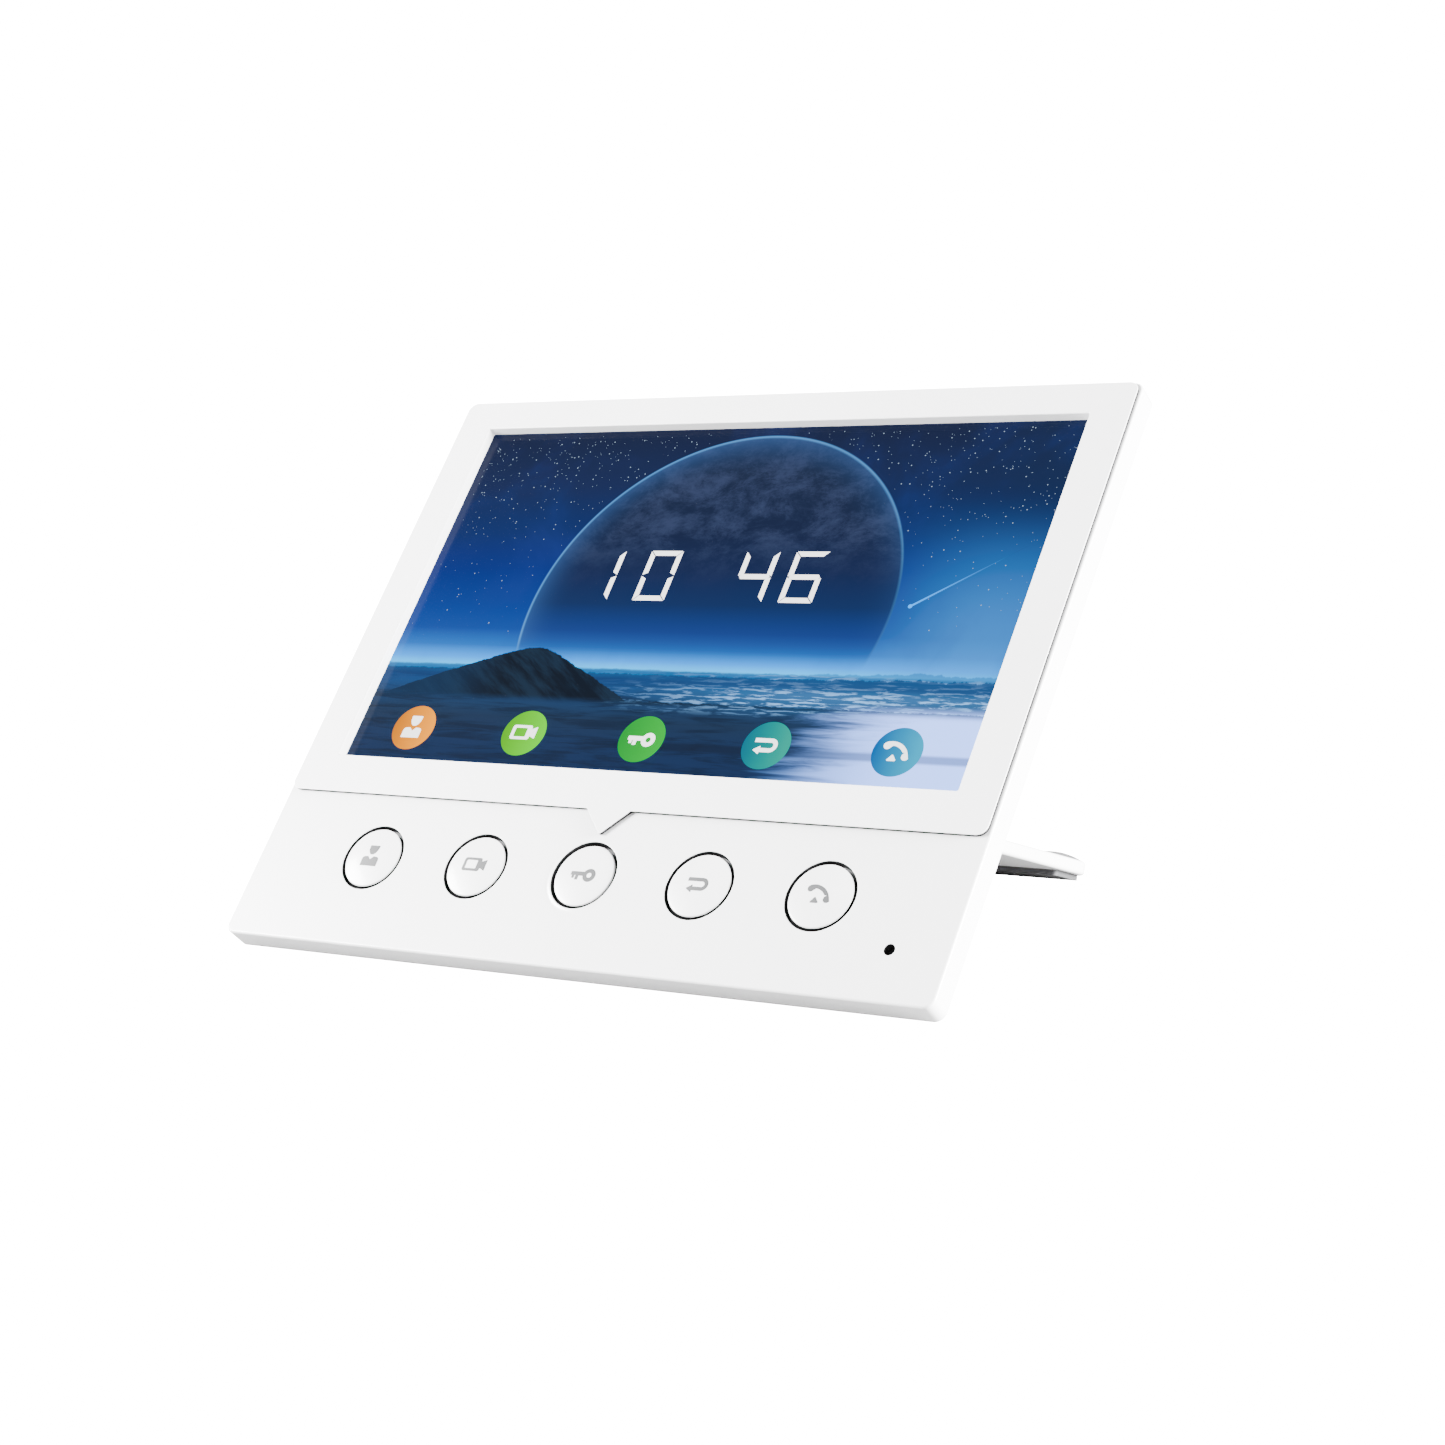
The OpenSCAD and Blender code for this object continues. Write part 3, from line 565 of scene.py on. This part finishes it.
MATERIALS = {
    "white_gloss": plain("white_gloss", (0.83, 0.83, 0.835), 0.3, coat=0.25),
    "white_satin": plain("white_satin", (0.8, 0.8, 0.8), 0.46, depth=0.00003),
    "icon_grey": plain("icon_grey", (0.05, 0.051, 0.053), 0.55, shine=0.32),
    # Near-black painted shade for the walls of key gaps, the mic hole and the bezel's side, where shadow falls
    "painted_gap_shade": plain("painted_gap_shade", (0.014, 0.014, 0.0145), 0.8, shine=0.1),
    "dark_rubber": plain("dark_rubber", (0.035, 0.035, 0.037), 0.72, depth=0.00003),
    "black_plastic": plain("black_plastic", (0.02, 0.02, 0.022), 0.5),
    "grey_plastic": plain("grey_plastic", (0.07, 0.07, 0.072), 0.5),
    "lcd": plain("lcd", (0.03, 0.04, 0.06), 0.3),
    "film": plain("film", (0.75, 0.76, 0.76), 0.4),
    "steel": brushed("steel", (0.56, 0.57, 0.58)),
    "zinc": brushed("zinc", (0.62, 0.62, 0.64), 0.28),
    "aluminium": brushed("aluminium", (0.7, 0.71, 0.72), 0.36),
    "brass": plain("brass", (0.66, 0.47, 0.2), 0.3, metal=1.0),
    "green_board": plain("green_board", (0.015, 0.12, 0.045), 0.35, tint=0.2),
    "terminal_green": plain("terminal_green", (0.03, 0.2, 0.07), 0.4),
    "chip_black": plain("chip_black", (0.02, 0.02, 0.022), 0.42),
    "flex": plain("flex", (0.4, 0.16, 0.03), 0.3, tint=0.15),
    "magnet": plain("magnet", (0.08, 0.08, 0.085), 0.35, metal=0.8),
    "cone_paper": plain("cone_paper", (0.03, 0.03, 0.032), 0.8, depth=0.00004),
    "lead_red": plain("lead_red", (0.42, 0.02, 0.015), 0.45),
    "label_silver": plain("label_silver", (0.62, 0.62, 0.63), 0.35, metal=0.4),
    "screen_glass": picture(),
}


# ---- Front pieces ----


def rounded_face(shell, loop_at, z_low, z_face, radius):
    """Side wall and rounded edge of a plate; gives back the ring on its face."""
    rings = [shell.ring(loop_at(0.0), z_low)]
    for drop, inset in quarter(radius):
        rings.append(shell.ring(loop_at(inset), z_face - drop))
    shell.bands(rings)
    return rings[0], rings[-1]


def key_hole(shell, x, collar):
    """Rings of a key hole, from the face ring down to the ring on the inner side."""
    lip = 0.12
    rings = []
    top = FACE
    if collar:
        height, foot_r, shoulder_r, top_r = 0.25, 8.75, 7.95, 7.85
        top = FACE + height
        rings.append(shell.ring(circle(x, KEY_Y, foot_r), FACE))
        rings.append(shell.ring(circle(x, KEY_Y, shoulder_r), top - 0.02))
        rings.append(shell.ring(circle(x, KEY_Y, top_r), top))
    for drop, inset in reversed(quarter(lip, 4)):
        rings.append(shell.ring(circle(x, KEY_Y, HOLE_R + inset), top - drop))
    rings.append(shell.ring(circle(x, KEY_Y, HOLE_R), INNER))
    shell.bands(rings[:-1])
    # The hole's wall below the lip is painted dark as the shade inside the key gap
    shell.gap(rings[-2:])
    return rings[0], rings[-1]


def mic_hole(shell):
    rings = []
    for drop, inset in reversed(quarter(0.1, 4)):
        rings.append(shell.ring(circle(*MIC_AT, MIC_R + inset, 48), FACE - drop))
    rings.append(shell.ring(circle(*MIC_AT, MIC_R, 48), INNER))
    shell.bands(rings[:-1])
    # The hole's wall is painted dark as the shade inside it
    shell.gap(rings[-2:])
    return rings[0], rings[-1]


def front_housing():
    s = Shell()
    edge, inside = 0.5, box_outline(HOUSING, 3, 2)
    rim, face = rounded_face(s, lambda inset: box_outline(HOUSING, HOUSING_CORNER, inset), RIM, FACE, edge)
    inner_top = s.ring(inside, INNER)
    inner_rim = s.ring(inside, RIM)
    s.bands([inner_top, inner_rim, rim])
    holes = [key_hole(s, x, i == 2) for i, x in enumerate(KEY_X)] + [mic_hole(s)]
    rebate = -1.78
    window = [s.ring(box_outline(grown(WINDOW, 1.8), 1), z) for z in (FACE, rebate)]
    ledge = [s.ring(box_outline(grown(WINDOW, 4.2), 1), z) for z in (rebate, INNER)]
    s.bands([*window, *ledge])
    s.fill(face, [h[0] for h in holes] + [window[0]])
    s.fill(inner_top, [h[1] for h in holes] + [ledge[1]])
    housing_posts = ((-79, 20), (79, 20), (-79, 34), (79, 34))
    board_posts = ((-66, 12), (66, 12), (-66, 30), (66, 30), (-41.8, 31), (41.8, 31))
    plate_posts = ((-72, 36.2), (-40, 36.2), (40, 36.2), (72, 36.2))
    post_kinds = ((housing_posts, 2.8, 1.1, -9.4), (board_posts, 2.2, 0.8, -8), (plate_posts, 1.9, 0.8, -8.5))
    for posts, radius, bore, end in post_kinds:
        for x, y in posts:
            s.tube(x, y, radius, bore, end, INNER + 0.3)
    place("front_shell", s, "panel", ["front_housing"], MATERIALS["white_gloss"])


def bezel_outline(inset):
    """Rounded plate with a pointed tab in the middle of its lower edge."""
    x0, x1, y0, y1 = BEZEL
    tab = [(-TAB_HALF, y0), (0, y0 - TAB_LENGTH), (TAB_HALF, y0)]
    tab_radii = [0.4, 0.35, 0.4]
    points = [(x0, y0), *tab, (x1, y0), (x1, y1), (x0, y1)]
    return outline(points, [BEZEL_CORNER, *tab_radii] + [BEZEL_CORNER] * 3, inset)


def display_bezel():
    """Plate whose side below its rounded edge is painted dark as shade, and four locating pins at its back."""
    s = Shell()
    under, lip, round_edge, window_edge = 0.06, FACE + 0.68, 0.12, 0.25
    edge, face = rounded_face(s, bezel_outline, lip, 0.0, round_edge)
    low = s.ring(bezel_outline(under), FACE)
    # The side wall between the face and the rounded edge is painted dark as the shade along the bezel's step
    s.gap([low, s.ring(bezel_outline(under), lip), edge])
    rings = []
    for drop, inset in reversed(quarter(window_edge, 5)):
        rings.append(s.ring(box_outline(WINDOW, 0.4, -inset), -drop))
    rings.append(s.ring(box_outline(WINDOW, 0.4), GLASS + 0.01))
    collar = grown(WINDOW, 1.6)
    rings += [s.ring(box_outline(collar, 1), z) for z in (GLASS + 0.01, FACE)]
    s.bands(rings)
    s.fill(face, [rings[0]])
    s.fill(low, [rings[-1]])
    pin_r, pin_y = 1.08, 38.3
    for x in (-62, -14, 14, 62):
        s.lathe(x, pin_y, [(0, FACE), (pin_r, FACE), (pin_r, INNER), (0, INNER)], 32)
    place("bezel", s, "panel", ["display_bezel"], MATERIALS["white_gloss"])


def display():
    """Front glass; its UV map holds millimetres on the panel."""
    s = Shell()
    margin, thickness = 3.9, 1.1
    s.prism(box_outline(grown(WINDOW, margin), 1), GLASS - thickness, GLASS)
    piece = place("display_glass", s, "panel", ["display_lens"], MATERIALS["screen_glass"])
    mesh = piece.data
    layer = mesh.uv_layers.new(name="millimetres")
    back = PANEL.inverted()
    for corner in mesh.loops:
        spot = back @ mesh.vertices[corner.vertex_index].co
        layer.data[corner.index].uv = (spot.x, spot.y)


# ---- Icons ----


def icon_contact():
    head = outline(
        [(-0.45, 0.42), (0.25, 0.42), (0.75, 0.8), (1.1, 1.5), (1.25, 2.65),
         (-1.45, 2.65), (-1.3, 1.5), (-0.9, 0.8)],
        [0.2] * 8, 0.0, 4,
    )
    body = outline(
        [(-2.3, -2.3), (2.1, -2.3), (2.1, -0.1), (0.65, 0), (-0.1, -0.75), (-0.85, 0), (-2.3, -0.1)],
        [0.12, 0.12, 0.7, 0.1, 0.08, 0.1, 0.7],
    )
    return [(head, []), (body, [])]


def icon_camera():
    case = outline(
        [(-3, -1.4), (1.5, -1.4), (1.62, -0.6), (2.85, -1.15),
         (2.85, 1.5), (1.62, 0.95), (1.5, 1.75), (-3, 1.75)],
        [0.55, 0.5, 0.1, 0.12, 0.12, 0.1, 0.5, 0.55],
    )
    gap = outline([(-2.25, -0.8), (0.55, -0.8), (0.55, 1.15), (-2.25, 1.15)], [0.25] * 4)
    return [(case, [gap])]


def icon_unlock():
    ring = circle(1.55, -0.1, 1.5, 48)
    shaft = outline(
        [(-3.05, -0.25), (-2.65, -0.25), (-2.65, -0.95), (-2, -0.95), (-2, -0.25), (-1.75, -0.25),
         (-1.75, -1.3), (-0.95, -1.3), (-0.95, -0.35), (0.12, -0.35), (0.2, 0.6), (-3.05, 0.6)],
        [0.1] * 12, 0.0, 3,
    )
    return [(ring, [circle(1.55, -0.1, 0.55, 48)]), (shaft, [])]


def arc(x, y, radius, start, end, steps=16):
    turns = [math.radians(start + (end - start) * i / steps) for i in range(steps + 1)]
    return [Vector((x + radius * math.cos(a), y + radius * math.sin(a))) for a in turns]


def icon_back():
    outer, inner = arc(0.95, 0.02, 1.45, -90, 90), arc(0.95, 0.02, 0.6, 90, -90)
    far_end = [Vector((-2.6, 1.47)), Vector((-2.6, 0.62))]
    stroke = [Vector((-1.06, -1.43)), *outer, *far_end, *inner, Vector((-1.06, -0.58))]
    head = outline([(-2.55, -1.02), (-1.05, -1.94), (-1.05, -0.1)], [0.12] * 3)
    return [(stroke, []), (head, [])]


def icon_hangup():
    """Handset seen from the side, over a small arrowhead."""
    x, y, inner, outer = -1.51, -1.91, 3.2, 4.05
    back = arc(x, y, outer, 18, 104, 24)
    front = arc(x, y, inner, 84, 36, 14)
    ear_high = arc(-2.3, 1.3, 0.8, 150, 330)
    ear_low = arc(1.9, -0.85, 0.8, 110, 330)
    drop = outline([(-1.8, -1.85), (0.4, -1.85), (-0.7, -0.45)], [0.2] * 3)
    return [([*back, *ear_high, *front, *ear_low], []), (drop, [])]


ICONS = (icon_contact, icon_camera, icon_unlock, icon_back, icon_hangup)


def dome_level(x, y):
    """Level of the domed cap face at a point measured from the key's centre."""
    rim = KEY_R - KEY_EDGE
    bend = (rim * rim + RISE * RISE) / (2 * RISE)
    return FACE + RISE - bend + math.sqrt(bend * bend - x * x - y * y)


def draped(shell, loop, holes, x, y):
    """Icon part let into a domed cap, cut into strips so that it follows the curve."""
    parts = [loop, *holes]
    flat = [[Vector((*p, 0)) for p in part] for part in parts]
    names = [p for part in parts for p in part]
    work = bmesh.new()
    spots = [work.verts.new((p[0], p[1], 0)) for p in names]
    for three in tessellate_polygon(flat):
        try:
            work.faces.new([spots[i] for i in three])
        except ValueError:
            continue
    strip, sunk, proud = 0.75, -0.3, 0.02
    cuts = [i * strip for i in range(-5, 6)]
    for axis in ((1, 0, 0), (0, 1, 0)):
        for at in cuts:
            bmesh.ops.bisect_plane(
                work, geom=work.verts[:] + work.edges[:] + work.faces[:],
                plane_co=Vector(axis) * at, plane_no=axis,
            )
    top = bmesh.ops.extrude_face_region(work, geom=work.faces[:])
    raised = {v for v in top["geom"] if isinstance(v, bmesh.types.BMVert)}
    start = len(shell.points)
    work.verts.index_update()
    for v in work.verts:
        lift = proud if v in raised else sunk
        shell.points.append((x + v.co.x, y + v.co.y, dome_level(v.co.x, v.co.y) + lift))
    for f in work.faces:
        shell.faces.append(tuple(start + v.index for v in f.verts))
    work.free()


def key(i, name):
    x = KEY_X[i]
    rim = KEY_R - KEY_EDGE
    steps = 14
    profile = [(0, dome_level(0, 0))]
    profile += [(rim * k / steps, dome_level(rim * k / steps, 0)) for k in range(1, steps + 1)]
    for a in (22, 45, 68, 90):
        out, up = math.sin(math.radians(a)), math.cos(math.radians(a))
        profile.append((rim + KEY_EDGE * out, FACE - KEY_EDGE + KEY_EDGE * up))
    visible = len(profile) - 1
    profile += [(KEY_R, CAP_BACK), (0, CAP_BACK)]
    cap = Shell()
    # Below its rounded rim the cap's side is painted dark as the shade in the gap round it
    cap.lathe(x, KEY_Y, profile, painted_shade_from=visible)
    body, white, grey = f"key_{name}", MATERIALS["white_gloss"], MATERIALS["grey_plastic"]
    place(f"keycap_{name}", cap, body, [f"cap_{name}"], white, sharp=40)
    mark = Shell()
    for loop, holes in ICONS[i]():
        draped(mark, loop, holes, x, KEY_Y)
    place(f"mark_{name}", mark, body, [f"icon_{name}"], MATERIALS["icon_grey"])
    under = Shell()
    flange = [(0, CAP_BACK), (8.25, CAP_BACK), (8.25, -3.7)]
    plunger = [(1.8, -3.7), (1.8, -5), (1.7, -5), (1.7, -6.6), (0, -6.6)]
    under.lathe(x, KEY_Y, flange + plunger)
    place(f"retainer_{name}", under, body, [f"carrier_{name}"], grey)


# ---- Marks on the display ----

# Round icons: places, radius, size of their glyph against a key's icon, colours left and right
DISC_X = (-62.0, -31.6, -0.9, 29.7, 60.0)
DISC_Y = 54.1
DISC_R = 5.6
GLYPH = 1.12
DISC_COLOURS = (
    (shown(214, 152, 20), shown(236, 188, 52)),
    (shown(138, 184, 30), shown(164, 210, 46)),
    (shown(44, 172, 88), shown(104, 190, 104)),
    (shown(18, 134, 160), shown(38, 180, 168)),
    (shown(22, 128, 190), shown(72, 190, 210)),
)


WHITE_LIGHT = 3.4


def screen_icons():
    glow = lit("screen_white", (1.0, 1.0, 1.0), WHITE_LIGHT)
    for i, x in enumerate(DISC_X):
        disc = Shell()
        disc.prism(circle(x, DISC_Y, DISC_R), GLASS - 0.02, GLASS + 0.02)
        span = ((x - DISC_R) * MM, (x + DISC_R) * MM)
        shade = lit(f"disc_{KEYS[i]}", DISC_COLOURS[i][0], 1.0, DISC_COLOURS[i][1], span)
        place(f"screen_disc_{KEYS[i]}", disc, "panel", [], shade)
        glyph = Shell()
        for loop, holes in ICONS[i]():
            moved = [[(p[0] * GLYPH + x, p[1] * GLYPH + DISC_Y) for p in part]
                     for part in (loop, *holes)]
            glyph.prism(moved[0], GLASS, GLASS + 0.04, moved[1:])
        place(f"screen_glyph_{KEYS[i]}", glyph, "panel", [], glow)


SEGMENTS = {"0": "abcdef", "1": "bc", "4": "bcfg", "6": "acdefg"}
DIGIT_H = 13.0
DIGIT_W = 8.3
DIGIT_Y = 88.65
STROKE = 1.25


def segment_outline(name):
    """Points of one seven-segment bar in its cell, from (0, 0) to (DIGIT_W, DIGIT_H)."""
    w, h, t, gap = DIGIT_W, DIGIT_H, STROKE, 0.16
    mid = h / 2
    if name in "ad":
        edge, side = (h, -1) if name == "a" else (0, 1)
        inner = edge + side * t
        return [(gap, edge), (w - gap, edge), (w - t - gap, inner), (t + gap, inner)]
    if name == "g":
        half = t / 2
        return [(gap * 2, mid), (half + gap, mid + half), (w - half - gap, mid + half),
                (w - gap * 2, mid), (w - half - gap, mid - half), (half + gap, mid - half)]
    low, high = (mid + gap, h - gap) if name in "bf" else (gap, mid - gap)
    outer, inner = (w, w - t) if name in "bc" else (0, t)
    if name in "bf":
        return [(outer, low), (outer, high), (inner, high - t), (inner, low + t / 2)]
    return [(outer, low), (outer, high), (inner, high - t / 2), (inner, low + t)]


def clock():
    """Four seven-segment digits."""
    glow = lit("clock_white", (1.0, 1.0, 1.0), WHITE_LIGHT)
    digits = (("1", -33.3), ("0", -18.2), ("4", 6.6), ("6", 19.0))
    s = Shell()
    for digit, x in digits:
        for name in SEGMENTS[digit]:
            loop = [(x + px, DIGIT_Y + py) for px, py in segment_outline(name)]
            s.prism(loop, GLASS, GLASS + 0.04)
    place("clock_digits", s, "panel", [], glow)


def stars():
    """Small lit specks in the sky."""
    rng = random.Random(7)
    s = Shell()
    made, wanted = 0, 620
    while made < wanted:
        x, y = rng.uniform(-76, 76), rng.uniform(78, 133.5)
        away = math.hypot(x - PLANET[0], y - PLANET[1])
        if away < PLANET[2] + 1 or rng.random() > ((y - 74) / 60) ** 1.3:
            continue
        size = rng.choice((0.06, 0.07, 0.07, 0.09, 0.11, 0.15))
        s.prism(circle(x, y, size, 6), GLASS, GLASS + 0.012)
        made += 1
    place("screen_stars", s, "panel", [], lit("star_white", (0.6, 0.8, 1.0), 1.0))


def comet():
    """Thin tail that narrows away from its head."""
    s = Shell()
    head, tail = Vector((50.9, 88.3)), Vector((73.0, 103.5))
    along = (tail - head).normalized()
    side = Vector((-along.y, along.x))
    loop = [head + side * 0.24, head - along * 0.3, head - side * 0.24, tail]
    s.prism([(p.x, p.y) for p in loop], GLASS, GLASS + 0.015)
    s.prism(circle(head.x, head.y, 0.5, 24), GLASS, GLASS + 0.03)
    span = (head.x * MM, tail.x * MM)
    fade = lit("comet_blue", shown(150, 204, 238), 1.0, shown(48, 104, 158), span)
    place("screen_comet", s, "panel", [], fade)


# ---- Stand ----


def stand():
    """U-shaped frame, its two hinge barrels, and the lugs that stop it when it is open."""
    s = Shell()
    half, length, arm, thick, edge = 60.35, 74.0, 20.0, 1.55, 0.8
    inner = half - arm
    points = [(half, 0), (half, length), (-half, length), (-half, 0),
              (-inner, 0), (-inner, length - arm), (inner, length - arm), (inner, 0)]
    radii = [4, 4, 4, 4, 4, 1.5, 1.5, 4]
    rings = []
    for drop, inset in reversed(quarter(edge)):
        rings.append(s.ring(outline(points, radii, inset), drop - thick))
    for drop, inset in quarter(edge):
        rings.append(s.ring(outline(points, radii, inset), thick - drop))
    s.bands(rings)
    s.fill(rings[0])
    s.fill(rings[-1])
    barrel_r, bore_r = 2.5, 1.55
    for side in (-1, 1):
        s.bar(side * 39.9, side * 60.8, 0, 0, barrel_r, bore_r)
        lug = sorted((side * 42, side * 45))
        s.prism([(lug[0], -4.8), (lug[1], -4.8), (lug[1], 1), (lug[0], 1)], -1.2, 1.2)
    place("stand", s, "stand", ["stand_frame"], MATERIALS["white_gloss"], STAND)


def bumpers():
    s = Shell()
    rise, half, middle, steps = 0.6, 8.3, 61.5, 12
    foot, surface, half_width = 1.3, 1.55, 2.8
    bend = (half * half + rise * rise) / (2 * rise)
    crown = []
    for i in range(steps + 1):
        y = -half + 2 * half * i / steps
        crown.append((middle + y, surface + rise - bend + math.sqrt(bend * bend - y * y)))
    side_view = [(middle - half, foot), *crown, (middle + half, foot)]
    for x in (-57, 57):
        rings = [s.ring([(x + at, y, z) for y, z in side_view], None)
                 for at in (-half_width, half_width)]
        s.bands(rings)
        s.fan(rings[0])
        s.fan(rings[1])
    place("bumpers", s, "stand", ["stand_bumpers"], MATERIALS["dark_rubber"], STAND)


def speaker_cone():
    """Paper cone with a raised ring, on its rim at the inside of the back wall."""
    back_wall = -20.4
    front = [(0, 1.1), (5, 1.35), (6, 1.55), (11, 1.1), (12.6, 1.1), (14, 1.25)]
    rear = [(14, 1), (13, 0.75), (11, 0.75), (6, 1.2), (5, 1), (0, 0.75)]
    s = Shell()
    s.lathe(0, 82, [(radius, back_wall + level) for radius, level in front + rear])
    place("cone", s, "panel", ["speaker_cone"], MATERIALS["cone_paper"])


# ---- CAD nodes that show as they are ----


def dress_cad_nodes():
    slots = {row["node"]: row["material_slot"] for row in frame["record"]["subparts"]}
    for name, piece in frame["nodes"].items():
        piece.data.materials.clear()
        piece.data.materials.append(MATERIALS[slots[name]])
        piece.data.shade_smooth()
        piece.data.set_sharp_from_angle(angle=math.radians(28))
        weights = piece.modifiers.new("face_weights", "WEIGHTED_NORMAL")
        weights.keep_sharp = True


# ---- Studio ----


# Light that falls on the object from all round, and how bright the backdrop looks
WORLD_FILL = 1.0
BACKDROP = 24.0


def floor():
    size = 6.0
    mesh = bpy.data.meshes.new("floor")
    corners = [(-size, -size, 0), (size, -size, 0), (size, size, 0), (-size, size, 0)]
    mesh.from_pydata(corners, [], [(0, 1, 2, 3)])
    n = Nodes("floor_white")
    n.set("Base Color", n.mix(n.noise(3.0), (0.22, 0.22, 0.22), (0.21, 0.21, 0.21)))
    n.set("Roughness", 0.7)
    n.set("Emission Color", (1.0, 1.0, 1.0, 1.0))
    seen = n.tree.nodes.new("ShaderNodeLightPath").outputs["Is Camera Ray"]
    n.set("Emission Strength", n.math("MULTIPLY", seen, BACKDROP * 0.93))
    mesh.materials.append(n.material)
    piece = bpy.data.objects.new("floor", mesh)
    bpy.context.scene.collection.objects.link(piece)


def softbox(name, at, target, size, power):
    lamp = bpy.data.lights.new(name, "AREA")
    lamp.shape = "RECTANGLE"
    lamp.size, lamp.size_y = size
    lamp.energy = power
    piece = bpy.data.objects.new(name, lamp)
    piece.location = at
    piece.rotation_mode = "QUATERNION"
    piece.rotation_quaternion = (Vector(target) - Vector(at)).to_track_quat("-Z", "Y")
    bpy.context.scene.collection.objects.link(piece)


def studio():
    world = bpy.data.worlds.new("studio")
    world.use_nodes = True
    tree = world.node_tree
    back = tree.nodes["Background"]
    back.inputs["Color"].default_value = (1, 1, 1, 1)
    seen = tree.nodes.new("ShaderNodeLightPath").outputs["Is Camera Ray"]
    strength = tree.nodes.new("ShaderNodeMapRange")
    strength.inputs["To Min"].default_value = WORLD_FILL
    strength.inputs["To Max"].default_value = BACKDROP
    tree.links.new(seen, strength.inputs["Value"])
    tree.links.new(strength.outputs[0], back.inputs["Strength"])
    bpy.context.scene.world = world
    softbox("key_left", (-0.76, -0.4, 0.4), (0, 0, 0.05), (0.4, 0.4), 85)
    softbox("side_right", (1.14, 0.13, 0.3), (0, 0, 0.05), (0.5, 0.5), 220)


def camera():
    lens = bpy.data.cameras.new("camera")
    lens.sensor_width = 36
    lens.lens = 69.71
    lens.clip_start, lens.clip_end = 0.01, 20
    piece = bpy.data.objects.new("camera", lens)
    across, up = Vector((0.82679, 0.55851, -0.06696)), Vector((-0.03808, 0.17433, 0.98395))
    turn = Matrix((across, up, across.cross(up))).transposed()
    piece.matrix_world = Matrix.Translation((0.33511, -0.47628, 0.13981)) @ turn.to_4x4()
    bpy.context.scene.collection.objects.link(piece)
    bpy.context.scene.camera = piece


front_housing()
display_bezel()
display()
for number, key_name in enumerate(KEYS):
    key(number, key_name)
screen_icons()
clock()
stars()
comet()
stand()
bumpers()
speaker_cone()
dress_cad_nodes()
floor()
studio()
camera()
